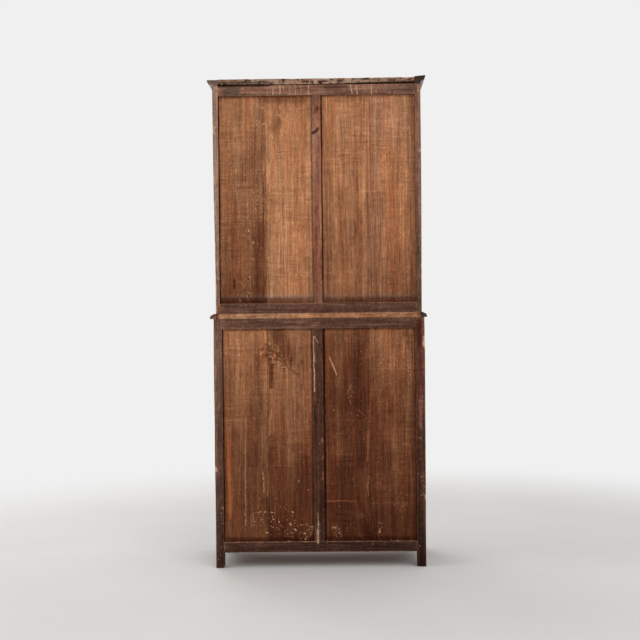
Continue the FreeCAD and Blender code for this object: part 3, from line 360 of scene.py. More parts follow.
# Marks on the back, placed one by one
#
# Each mark is its kind, its width, its strength and the points of its line. Widths are millimetres, and a
# point is its X and Z in millimetres. dark, light, orange and yellow change the tone, pale lays fresh wood
# open, red, orange and grey tint the wood, and swirl turns the grain as round a knot. Two thin dark marks
# on the upper panels are painted shadow lines along the joints between boards.
MARK_KINDS = ("dark", "light", "pale", "red", "orange", "yellow", "grey", "swirl")
UPPER_MARKS = (
    ("pale", 2.8, 1.0, (157, 2094), (156, 2051)), ("pale", 4.2, 0.85, (146, 2094), (141, 2076)),
    ("pale", 2.6, 0.72, (114, 2093), (115, 2049)), ("pale", 2.8, 0.8, (33, 2094), (33, 2048)),
    ("pale", 3.0, 0.9, (320, 2094), (319, 2078)), ("pale", 3.0, 1.0, (-150, 2094), (-156, 2050)),
    ("pale", 3.0, 0.8, (-173, 2088), (-178, 2047)), ("pale", 3.0, 0.95, (-241, 2094), (-241, 2046)),
    ("pale", 2.5, 0.64, (-259, 2076), (-260, 2046)), ("pale", 2.5, 0.6, (-280, 2070), (-281, 2049)),
    ("pale", 3.0, 0.7, (66, 2085), (66, 2048)), ("pale", 3.0, 0.68, (212, 2078), (212, 2048)),
    ("pale", 3.0, 0.62, (87, 2090), (88, 2050)), ("pale", 2.8, 0.6, (128, 2092), (130, 2066)),
    ("pale", 3.2, 0.7, (185, 2082), (186, 2048)), ("pale", 5, 0.48, (-60, 2085), (-110, 2083)),
    ("dark", 12, 0.45, (-40, 2082), (-130, 2080)), ("dark", 10, 0.4, (-330, 2060), (-420, 2066)),
    ("pale", 2.4, 0.5, (-239, 2042), (-234, 1968)), ("grey", 12, 0.4, (-255, 2035), (-260, 1925)),
    ("pale", 2, 0.5, (-252, 2040), (-250, 1975)), ("grey", 24, 1.0, (384, 2070), (350, 2070)),
    ("dark", 22, 0.5, (382, 2068), (350, 2069)), ("red", 22, 0.35, (298, 2074), (60, 2070)),
    ("grey", 20, 0.5, (-380, 2068), (-415, 2072)),
    # the panel towards +X
    ("dark", 20, 0.42, (249, 2029), (150, 2032), (59, 2027)),
    ("dark", 26, 0.16, (262, 1900), (262, 1560)), ("dark", 30, 0.24, (315, 1764), (323, 1690)),
    ("dark", 34, 0.20, (273, 1805), (267, 1664)), ("dark", 40, 0.26, (252, 1440), (256, 1170)),
    ("dark", 5, 0.85, (364, 1249), (365, 1207)), ("dark", 26, 0.30, (165, 1930), (190, 1905)),
    # the thin dark line at X 234 is a painted shadow line along the joint between this panel's two boards
    ("dark", 3.4, 0.6, (234, 1700), (235, 1180)), ("light", 2.4, 0.8, (226, 1600), (228, 1170)),
    ("dark", 34, 0.30, (240, 1481), (259, 1325), (250, 1190)),
    ("pale", 30, 0.20, (252, 2028), (245, 1854)), ("pale", 52, 0.20, (270, 1600), (284, 1400)),
    ("pale", 46, 0.17, (330, 1300), (310, 1170)), ("pale", 50, 0.12, (350, 2000), (354, 1650)),
    ("pale", 44, 0.09, (100, 1990), (90, 1592)), ("pale", 2.6, 0.6, (350, 1470), (350, 1400)),
    ("pale", 7, 0.62, (239, 1999), (231, 1990)), ("pale", 4, 0.66, (224, 1985), (221, 1979)),
    ("pale", 4.4, 0.7, (158, 1998), (157, 1990)), ("pale", 7, 0.56, (162, 1963), (154, 1957)),
    ("pale", 4, 0.66, (236, 1925), (224, 1928)), ("pale", 4, 0.6, (216, 1921), (207, 1914)),
    ("pale", 8, 0.44, (286, 1855), (265, 1844)), ("pale", 2.6, 1.0, (195, 1776), (195, 1773)),
    ("pale", 2.6, 0.8, (167, 1783), (163, 1783)), ("pale", 2.2, 0.7, (167, 1734), (166, 1728)),
    ("pale", 3, 0.6, (376, 1726), (374, 1722)), ("pale", 3, 0.7, (268, 1559), (266, 1553)),
    ("pale", 3, 0.66, (321, 1527), (321, 1522)), ("pale", 3.2, 0.8, (301, 1466), (298, 1458)),
    ("pale", 3.0, 1.0, (277, 1408), (276, 1405)), ("pale", 2.6, 0.9, (284, 1341), (284, 1338)),
    ("pale", 2.8, 1.0, (341, 1328), (341, 1326)), ("pale", 2.0, 0.5, (262, 1228), (250, 1218)),
    ("pale", 30, 0.35, (285, 1550), (276, 1440)), ("pale", 24, 0.33, (290, 1865), (262, 1840)),
    ("light", 9, 0.5, (171, 1420), (168, 1300)), ("light", 9, 0.4, (68, 1415), (65, 1267)),
    ("light", 1.6, 0.6, (408, 1636), (373, 1635)), ("dark", 1.6, 0.25, (217, 1692), (27, 1690)),
    ("light", 26, 0.12, (120, 1800), (110, 1560)), ("dark", 18, 0.22, (42, 1330), (42, 1180)),
    ("red", 26, 0.30, (345, 1500), (330, 1250)), ("red", 30, 0.25, (385, 1950), (375, 1650)),
    # the panel towards -X
    ("light", 17, 0.16, (-213, 2011), (-212, 1757), (-200, 1600)),
    ("grey", 30, 0.30, (-242, 2030), (-250, 1236)), ("grey", 90, 0.22, (-320, 2035), (-320, 1900)),
    ("grey", 50, 0.18, (-120, 1960), (-120, 1920)),
    ("red", 28, 0.5, (-246, 2030), (-250, 1850), (-256, 1300)),
    ("dark", 6, 0.5, (-154, 1430), (-154, 1424)), ("dark", 16, 0.26, (-158, 1490), (-152, 1400)),
    ("grey", 6, 0.9, (-187, 1408), (-187, 1402)), ("light", 9, 0.5, (-166, 1906), (-184, 1902)),
    ("pale", 3.4, 0.66, (-168, 1908), (-182, 1905)),
    ("pale", 1.6, 0.52, (-103, 1896), (-105, 1822), (-103, 1730)),
    ("pale", 3, 0.7, (-105, 1755), (-104, 1748)), ("light", 1.6, 0.65, (-153, 1628), (-265, 1626)),
    ("light", 1.6, 0.6, (-253, 1817), (-309, 1816)), ("dark", 5, 0.35, (-174, 1687), (-174, 1627)),
    ("dark", 12, 0.24, (-180, 1545), (-187, 1497)), ("dark", 9, 0.26, (-170, 1307), (-166, 1180)),
    ("light", 22, 0.14, (-206, 1377), (-208, 1201)), ("light", 24, 0.12, (-304, 1644), (-306, 1446)),
    # the thin dark line at X -218 is a painted shadow line along the joint between this panel's two boards
    ("dark", 3, 0.3, (-218, 2040), (-218, 1160)), ("grey", 15, 0.6, (420, 1172), (24, 1172)),
    ("grey", 15, 0.6, (-24, 1172), (-415, 1172)), ("pale", 36, 0.09, (-90, 1950), (-120, 1700)),
    ("pale", 60, 0.07, (-330, 1900), (-320, 1500)), ("dark", 22, 0.20, (-150, 2030), (-60, 2032)),
    ("dark", 8, 0.20, (-94, 1690), (-98, 1400)),
    # the muntin and the stiles
    ("light", 2.4, 1.0, (12, 1870), (14, 1560), (16, 1200)), ("light", 3, 0.6, (-14, 1900), (-12, 1400)),
    ("dark", 12, 0.3, (-6, 1870), (-8, 1560)), ("grey", 12, 0.5, (14, 1900), (8, 1850)),
    ("dark", 9, 0.9, (16, 1883), (4, 1887), (-7, 1899)), ("orange", 14, 0.7, (2, 1340), (0, 1255)),
    ("dark", 6, 0.5, (-20, 1990), (-20, 1820)), ("dark", 6, 0.45, (17, 1380), (17, 1240)),
    ("dark", 6, 0.4, (-19, 1420), (-19, 1250)), ("dark", 12, 0.35, (0, 1470), (6, 1400)),
    ("dark", 10, 0.35, (6, 1560), (2, 1530)), ("dark", 9, 0.5, (-6, 1990), (6, 1970)),
    ("light", 8, 0.3, (8, 1965), (2, 1940)), ("pale", 4, 0.56, (16, 1865), (17, 1790)),
    ("pale", 4, 0.54, (17, 1740), (17, 1650)), ("light", 9, 0.25, (6, 1930), (-4, 1915)),
    ("red", 18, 0.8, (8, 1330), (6, 1240)), ("red", 16, 0.45, (4, 1800), (2, 1560)),
    ("pale", 1.6, 0.5, (-12, 1500), (-12, 1460)), ("pale", 2.6, 0.9, (441, 1915), (441, 1911)),
    ("pale", 3, 0.85, (430, 1259), (430, 1253)), ("pale", 2.8, 0.9, (-440, 1800), (-440, 1797)),
    ("pale", 2.2, 0.7, (-434, 1626), (-434, 1622)),
)
BASE_MARKS = (
    # the panel towards +X
    ("dark", 40, 0.53, (172, 1012), (152, 964), (134, 915)), ("swirl", 46, 0.9, (215, 940), (150, 885)),
    ("swirl", 22, 0.5, (245, 950), (240, 880)), ("light", 10, 0.45, (188, 915), (180, 900)),
    ("light", 7, 0.4, (176, 880), (168, 872)), ("pale", 44, 0.12, (246, 935), (150, 860)),
    ("dark", 26, 0.26, (262, 900), (262, 700)), ("dark", 4, 0.5, (221, 949), (200, 938), (183, 924)),
    ("dark", 5, 0.5, (183, 924), (155, 907), (135, 865), (94, 837)),
    ("orange", 9, 0.5, (238, 935), (234, 890)), ("dark", 3.5, 0.5, (204, 925), (185, 902), (166, 896)),
    ("dark", 11, 0.66, (207, 872), (209, 783)), ("dark", 14, 0.34, (232, 965), (212, 880)),
    ("red", 8, 0.5, (196, 935), (170, 905)), ("red", 12, 0.55, (236, 860), (228, 800)),
    ("light", 4, 0.4, (252, 940), (250, 905)), ("light", 5, 0.35, (204, 772), (213, 766)),
    ("orange", 4, 0.6, (209, 776), (206, 686), (224, 590), (232, 465)),
    ("orange", 5, 0.85, (232, 465), (223, 382), (227, 313)),
    ("light", 3.2, 0.6, (207, 693), (211, 655), (217, 624)),
    ("pale", 2.4, 0.55, (206, 690), (212, 655), (217, 624)),
    ("orange", 9, 0.4, (385, 771), (381, 660), (390, 550)),
    ("orange", 10, 0.6, (390, 550), (395, 453), (393, 330), (391, 218)),
    ("light", 10, 0.22, (388, 620), (394, 453), (392, 240)), ("light", 2.4, 0.8, (319, 660), (325, 183)),
    ("pale", 2.6, 0.58, (321, 560), (325, 183)), ("pale", 14, 0.2, (332, 381), (325, 170)),
    ("pale", 3.4, 0.6, (248, 431), (246, 375), (244, 320)), ("red", 4, 0.6, (247, 431), (244, 320)),
    ("dark", 36, 0.36, (70, 470), (72, 257)), ("light", 1.4, 0.5, (296, 648), (241, 647)),
    ("light", 1.4, 0.5, (214, 543), (138, 541)), ("light", 1.4, 0.4, (348, 992), (251, 987)),
    ("pale", 46, 0.36, (262, 205), (150, 180), (70, 155)), ("pale", 30, 0.40, (200, 170), (100, 150)),
    ("pale", 2.4, 0.95, (93, 376), (92, 371)), ("pale", 2.0, 0.8, (187, 384), (187, 381)),
    ("pale", 2.2, 0.8, (51, 337), (51, 334)), ("pale", 3, 0.95, (262, 240), (258, 240)),
    ("pale", 3, 0.95, (240, 242), (236, 241)), ("pale", 3.4, 0.95, (212, 239), (208, 238)),
    ("pale", 3.4, 1.0, (121, 240), (117, 237)), ("pale", 3, 0.9, (205, 208), (202, 207)),
    ("pale", 3.2, 0.9, (134, 190), (128, 184)), ("pale", 4, 0.9, (112, 166), (106, 160)),
    ("pale", 3.6, 0.9, (235, 152), (228, 150)), ("pale", 3.4, 0.85, (73, 149), (68, 146)),
    ("pale", 3, 0.8, (180, 196), (176, 194)), ("dark", 26, 0.22, (274, 749), (284, 452)),
    ("light", 20, 0.14, (335, 950), (343, 784)), ("dark", 9, 0.4, (75, 892), (70, 886)),
    ("dark", 20, 0.25, (205, 560), (190, 300)), ("red", 30, 0.30, (180, 700), (160, 560)),
    ("dark", 18, 0.3, (240, 290), (215, 150)),
    # the muntin and the posts
    ("pale", 4, 0.7, (10, 238), (10, 190)), ("pale", 7, 0.62, (10, 190), (11, 160)),
    ("pale", 11, 0.6, (12, 160), (11, 108)), ("grey", 14, 0.9, (10, 190), (11, 110)),
    ("dark", 2, 0.6, (15, 225), (18, 120)), ("pale", 2.6, 0.62, (415, 111), (20, 111)),
    ("pale", 2.4, 0.58, (-20, 111), (-415, 111)), ("pale", 3.5, 0.7, (18, 999), (11, 988), (3, 974)),
    ("yellow", 5, 0.8, (-10, 558), (-12, 546)), ("yellow", 3.5, 0.8, (-13, 478), (-13, 473)),
    ("yellow", 3, 0.7, (-13, 415), (-13, 380)), ("pale", 2, 0.55, (-6, 315), (-10, 284)),
    ("light", 5, 1.0, (21, 1000), (20, 900), (19, 720)),
    ("pale", 3.4, 0.8, (22, 1000), (21, 900), (20, 760)), ("pale", 5, 0.9, (449, 434), (447, 420)),
    ("pale", 2.6, 0.9, (421, 262), (421, 258)), ("pale", 12, 0.40, (428, 250), (424, 190)),
    ("grey", 14, 0.5, (446, 620), (444, 470)), ("pale", 12, 0.36, (-440, 400), (-446, 250)),
    ("light", 6, 0.6, (-436, 720), (-438, 600)), ("pale", 2, 0.6, (-448, 740), (-447, 690)),
    ("pale", 2.6, 0.7, (-438, 560), (-444, 545)), ("dark", 12, 0.5, (-434, 1060), (-436, 960)),
    ("light", 9, 0.5, (20, 1050), (-2, 1064)), ("light", 7, 0.3, (150, 1062), (60, 1060)),
    # the panel towards -X
    ("pale", 2.6, 0.9, (-46, 912), (-62, 868), (-77, 832)), ("pale", 2.2, 0.6, (-60, 885), (-80, 836)),
    ("pale", 2.2, 0.62, (-119, 756), (-139, 707)), ("light", 2.2, 0.8, (-142, 790), (-123, 756)),
    ("light", 2.0, 0.8, (-170, 679), (-198, 655)), ("dark", 2.4, 0.5, (-173, 684), (-201, 661)),
    ("light", 2.0, 0.8, (-284, 706), (-315, 695)),
    ("light", 2.0, 0.8, (-346, 702), (-370, 697), (-391, 705)),
    ("orange", 3, 1.0, (-32, 286), (-156, 285)), ("light", 2.4, 0.6, (-32, 286), (-110, 286)),
    ("light", 1.3, 0.5, (-216, 765), (-285, 765)), ("light", 1.6, 0.5, (-217, 858), (-396, 857)),
    ("light", 1.5, 0.5, (-35, 637), (-201, 634)), ("light", 1.7, 0.7, (-296, 517), (-365, 517)),
    ("light", 1.5, 0.5, (-232, 275), (-383, 274)),
    ("orange", 4.5, 0.85, (-211, 586), (-209, 520), (-206, 455)),
    ("orange", 4, 0.5, (-217, 696), (-215, 627)),
    ("light", 5, 0.7, (-213, 393), (-205, 351), (-208, 310)),
    ("orange", 4, 0.6, (-211, 440), (-206, 360), (-209, 312)),
    ("dark", 4, 0.5, (-216, 400), (-212, 345), (-217, 300)),
    ("light", 3.4, 0.6, (-370, 957), (-366, 930), (-369, 902)),
    ("light", 5, 0.35, (-376, 1000), (-374, 960)),
    ("dark", 14, 0.45, (-163, 296), (-190, 241), (-210, 172)),
    ("dark", 60, 0.24, (-95, 414), (-101, 311)), ("pale", 3.4, 0.8, (-62, 172), (-65, 168)),
    ("pale", 3.0, 0.8, (-79, 149), (-82, 147)), ("pale", 20, 0.26, (-66, 168), (-84, 140)),
    ("pale", 12, 0.34, (-258, 190), (-257, 128)), ("grey", 9, 0.6, (-64, 172), (-72, 160)),
    ("pale", 4.5, 0.62, (-257, 164), (-256, 150)), ("pale", 3, 0.6, (-250, 150), (-247, 146)),
    ("dark", 24, 0.6, (-190, 195), (-207, 129)), ("pale", 3.0, 0.5, (-84, 262), (-86, 259)),
    ("pale", 40, 0.08, (-120, 790), (-180, 640)), ("pale", 60, 0.14, (-260, 900), (-373, 840)),
    ("pale", 26, 0.16, (-355, 300), (-360, 262)), ("light", 26, 0.22, (-300, 640), (-310, 520)),
    ("dark", 14, 0.30, (-235, 700), (-238, 450)), ("light", 26, 0.20, (-70, 640), (-75, 480)),
    ("yellow", 2.4, 0.9, (-66, 566), (-66, 560)), ("pale", 2.0, 0.8, (-63, 681), (-62, 679)),
    ("dark", 34, 0.40, (-176, 1024), (-172, 850), (-172, 683), (-180, 450)),
    ("light", 24, 0.16, (-60, 1015), (-62, 880)), ("light", 40, 0.16, (-290, 1000), (-310, 890)),
    ("light", 1.8, 0.6, (-292, 789), (-300, 794), (-308, 791)),
    ("dark", 20, 0.35, (-380, 1010), (-392, 960)), ("orange", 3, 0.55, (-33, 520), (-34, 330)),
    ("dark", 30, 0.22, (-240, 640), (-260, 430)), ("light", 10, 0.16, (-110, 240), (-180, 225)),
)


def marked(across, up, marks, kind, seed):
    """How strongly marks of one kind cover points: the greatest of strength times a soft falloff from
    each mark's line over its width, with the points first moved a little by noise."""
    wander = 5  # millimetres
    drift = wander * (ripple(up / 0.035, across / 0.02, seed) - 0.5)
    x, z = across / MM + drift, up / MM + drift
    cover = np.zeros(np.shape(x))
    for what, width, strength, *line in marks:
        if what != kind:
            continue
        for (x0, z0), (x1, z1) in zip(line, line[1:]):
            run = (x1 - x0) ** 2 + (z1 - z0) ** 2
            t = np.clip(((x - x0) * (x1 - x0) + (z - z0) * (z1 - z0)) / run, 0, 1)
            away = np.hypot(x - x0 - t * (x1 - x0), z - z0 - t * (z1 - z0))
            cover = np.maximum(cover, strength * eased(away, width * 1.25, width * 0.35))
    return cover


def mark_fields(sections, tone, marks, seed, facing, **more):
    """The tone and the masks of a board's points, after the marks that lie on its back face.

    A swirl mark makes the tone rise and fall with the sine of slow noise, as the grain does round a knot.
    facing is the Y of the face that the marks lie on, and more are masks that the board has anyway.
    """
    x, y, z = np.moveaxis(sections, -1, 0)
    shown = eased(y, facing - 3 * MM, facing - 1 * MM)
    cover = {kind: shown * marked(x, z, marks, kind, seed) for kind in MARK_KINDS}
    rings = 6
    turns = np.sin(2 * np.pi * rings * ripple(x / 0.03, z / 0.045, seed + 29, 2))
    tone = tone * (1 + 0.7 * cover["swirl"] * turns)
    lifted = np.maximum(cover["orange"] * 0.3, cover["yellow"] * 0.5)
    tone = tone * (1 - cover["dark"]) + cover["light"] * (0.18 + 0.35 * tone) + lifted * (1 - tone)
    fields = {"tone": tone, "pale": cover["pale"], "grey": cover["grey"] * 0.6,
              "red": np.maximum(cover["red"] * 0.5, cover["orange"])}
    for name, value in more.items():
        fields[name] = np.maximum(fields.get(name, 0.0), value)
    return fields


# Reading the CAD nodes

# Large odd numbers that scatter the bits of a pair of point numbers
SCRAMBLE = tuple(np.uint64(n) for n in (0x9E3779B97F4A7C15, 0xC2B2AE3D27D4EB4F, 0xBF58476D1CE4E5B9))
# A face that looks outwards and lies past these places, along X or Y, has the outside finish.
SIDE_FROM, FRONT_FROM = 0.43, -0.17


def node_triangles(node):
    """A CAD node's points, its triangles and the number of the solid that each triangle belongs to.

    The triangles come solid by solid. Each directed edge gets a number that its reverse cancels, so
    their running sum is zero exactly where a solid closes.
    """
    source = frame["nodes"][node].data
    loose = values_of(source.vertices, "co", 3)
    corners = values_of(source.polygons, "vertices", 3, np.int32)
    points, index = np.unique(np.round(loose, 6), axis=0, return_inverse=True)
    triangles = index.reshape(-1)[corners]
    after = np.roll(triangles, -1, axis=1)
    low = np.minimum(triangles, after).astype(np.uint64)
    high = np.maximum(triangles, after).astype(np.uint64)
    first, second, third = SCRAMBLE
    mixed = (low * first) ^ (high * second)
    mixed ^= mixed >> np.uint64(29)
    mixed *= third
    mixed ^= mixed >> np.uint64(32)
    signed = np.where(triangles < after, mixed, ~mixed + np.uint64(1))
    running = np.cumsum(signed.sum(axis=1, dtype=np.uint64), dtype=np.uint64)
    closed = np.concatenate([[0], np.cumsum(running == 0)[:-1]])
    return points, triangles, closed


def solid_boxes(node):
    """The lowest and highest corner of each solid of a CAD node."""
    points, triangles, owner = node_triangles(node)
    solids = [points[triangles[owner == solid]].reshape(-1, 3) for solid in np.unique(owner)]
    return [(solid.min(0), solid.max(0)) for solid in solids]


def place(name, mesh, node, slot, material):
    """Puts a finished mesh in the scene for a CAD node, on that node's body."""
    piece = bpy.data.objects.new(name, mesh)
    bpy.context.scene.collection.objects.link(piece)
    mesh.materials.append(bpy.data.materials["aged_" + material])
    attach(piece, frame["nodes"][node]["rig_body"])
    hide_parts(node)
    return piece


def dress(node, slot, tone, spread=0.06, material=None):
    """A node's boards with their joinery, each with its own grain, tone and outside finish.

    The loose triangles are joined within each solid and their flat faces merged. A board's tone is within
    spread of the given one, and its grain runs along its longest side.
    """
    points, triangles, solid_of = node_triangles(node)
    pairs = np.stack([np.repeat(solid_of, 3), triangles.ravel()], 1)
    keys, corners = np.unique(pairs, axis=0, return_inverse=True)
    mesh = mesh_of("dressed_" + node, points[keys[:, 1]], [corners.reshape(-1, 3)])
    solid = mesh.attributes.new("solid", "INT", "POINT")
    solid.data.foreach_set("value", keys[:, 0].astype(np.int32))
    work = bmesh.new()
    work.from_mesh(mesh)
    bmesh.ops.dissolve_limit(work, angle_limit=math.radians(FLAT), verts=work.verts, edges=work.edges)
    work.to_mesh(mesh)
    work.free()
    place_of = values_of(mesh.vertices, "co", 3)
    owner = values_of(mesh.attributes["solid"].data, "value", kind=np.int32)
    solids = int(keys[:, 0].max()) + 1
    low, high = np.full((solids, 3), FAR), np.full((solids, 3), -FAR)
    np.minimum.at(low, owner, place_of)
    np.maximum.at(high, owner, place_of)
    centre, half = (low + high) / 2, (high - low) / 2
    order = np.argsort(-half, axis=1)
    random = np.random.default_rng(seed_of(node))
    put(mesh, "board", np.take_along_axis(place_of - centre[owner], order[owner], 1))
    put(mesh, "half", np.take_along_axis(half, order, 1)[owner])
    put(mesh, "shift", random.uniform(-SHIFT, SHIFT, (solids, 3))[owner])
    put(mesh, "tone", (tone + spread * random.uniform(-1, 1, solids))[owner])
    normal, middle = values_of(mesh.polygons, "normal", 3), values_of(mesh.polygons, "center", 3)
    outside = (normal[:, 0] * np.sign(middle[:, 0]) > 0.1) & (np.abs(middle[:, 0]) > SIDE_FROM)
    outside |= (normal[:, 1] < -0.05) & (middle[:, 1] < FRONT_FROM)
    put(mesh, "finish", outside.astype(float), "FACE")
    mesh.attributes.remove(mesh.attributes["solid"])
    smooth(mesh, SHARP_JOINERY)
    piece = place("dressed_" + node, mesh, node, slot, material or slot)
    add_bevel(piece, bpy.context.scene.cupboard_wear.bevel)


def add_bevel(piece, width):
    """A small live bevel on a piece's sharp edges."""
    bevel = piece.modifiers.new("rubbed_edges", "BEVEL")
    bevel.width, bevel.segments, bevel.limit_method = width, 2, "ANGLE"
    bevel.angle_limit = math.radians(BEVELLED)
    bevel.harden_normals = True


# Materials

class Graph:
    """Short calls for building one node tree."""

    def __init__(self, tree):
        self.tree = tree

    def node(self, kind, inputs=None, **settings):
        """A node with its settings, and its inputs either linked or set."""
        made = self.tree.nodes.new(kind)
        for key, value in settings.items():
            setattr(made, key, value)
        for key, value in (inputs or {}).items():
            self.feed(made.inputs[key], value)
        return made

    def feed(self, socket, value):
        """Links a socket, or sets its value."""
        if isinstance(value, bpy.types.NodeSocket):
            self.tree.links.new(value, socket)
        elif hasattr(value, "__len__"):
            wanted = len(socket.default_value)
            socket.default_value = (tuple(value) + (1.0,))[:wanted]
        else:
            socket.default_value = value

    def math(self, operation, a, b=0.0, clamp=False):
        """One sum on numbers."""
        return self.node("ShaderNodeMath", {0: a, 1: b}, operation=operation, use_clamp=clamp).outputs[0]

    def add(self, a, b, clamp=False):
        """Two numbers added."""
        return self.math("ADD", a, b, clamp)

    def times(self, a, b, clamp=False):
        """Two numbers multiplied."""
        return self.math("MULTIPLY", a, b, clamp)

    def plus(self, total, value, factor, clamp=False):
        """A total plus a value times a factor."""
        return self.add(total, self.times(value, factor), clamp)

    def vector(self, operation, a, b):
        """One sum on vectors."""
        return self.node("ShaderNodeVectorMath", {0: a, 1: b}, operation=operation).outputs[0]

    def mix(self, share, a, b, free=False):
        """Two colours mixed by a share; a free share may go past the two colours.

        A Mix node's sockets for colours are its inputs 6 and 7 and its output 2.
        """
        return self.node("ShaderNodeMix", {0: share, 6: a, 7: b}, data_type="RGBA", blend_type="MIX",
                         clamp_factor=not free, clamp_result=True).outputs[2]

    def bump(self, height, strength, distance):
        """A normal that follows a height."""
        return self.node("ShaderNodeBump", {"Strength": strength, "Distance": distance,
                                            "Height": height}).outputs["Normal"]

    def noise(self, place, scale, detail=3.0, rough=0.6):
        """Noise from 0 to 1 over a place that is first scaled along, across and through."""
        scaled = self.vector("MULTIPLY", place, scale)
        return self.node("ShaderNodeTexNoise", {"Vector": scaled, "Scale": 1.0, "Detail": detail,
                                                "Roughness": rough}).outputs["Fac"]

    def swing(self, value, size):
        """A noise value moved to be about 0 and made as large as size."""
        return self.times(self.math("SUBTRACT", value, 0.5), size)

    def step(self, value, start, end):
        """A smooth step from 0 at start to 1 at end."""
        return self.node("ShaderNodeMapRange", {"Value": value, "From Min": start, "From Max": end},
                         interpolation_type="SMOOTHSTEP").outputs["Result"]


def new_group(name, inputs, outputs):
    """A shader node group's graph, and the sockets of its named inputs and of its named outputs."""
    tree = bpy.data.node_groups.new(name, "ShaderNodeTree")
    for title, kind in inputs:
        tree.interface.new_socket(name=title, in_out="INPUT", socket_type="NodeSocket" + kind)
    for title, kind in outputs:
        tree.interface.new_socket(name=title, in_out="OUTPUT", socket_type="NodeSocket" + kind)
    source = tree.nodes.new("NodeGroupInput").outputs
    return Graph(tree), source, tree.nodes.new("NodeGroupOutput").inputs


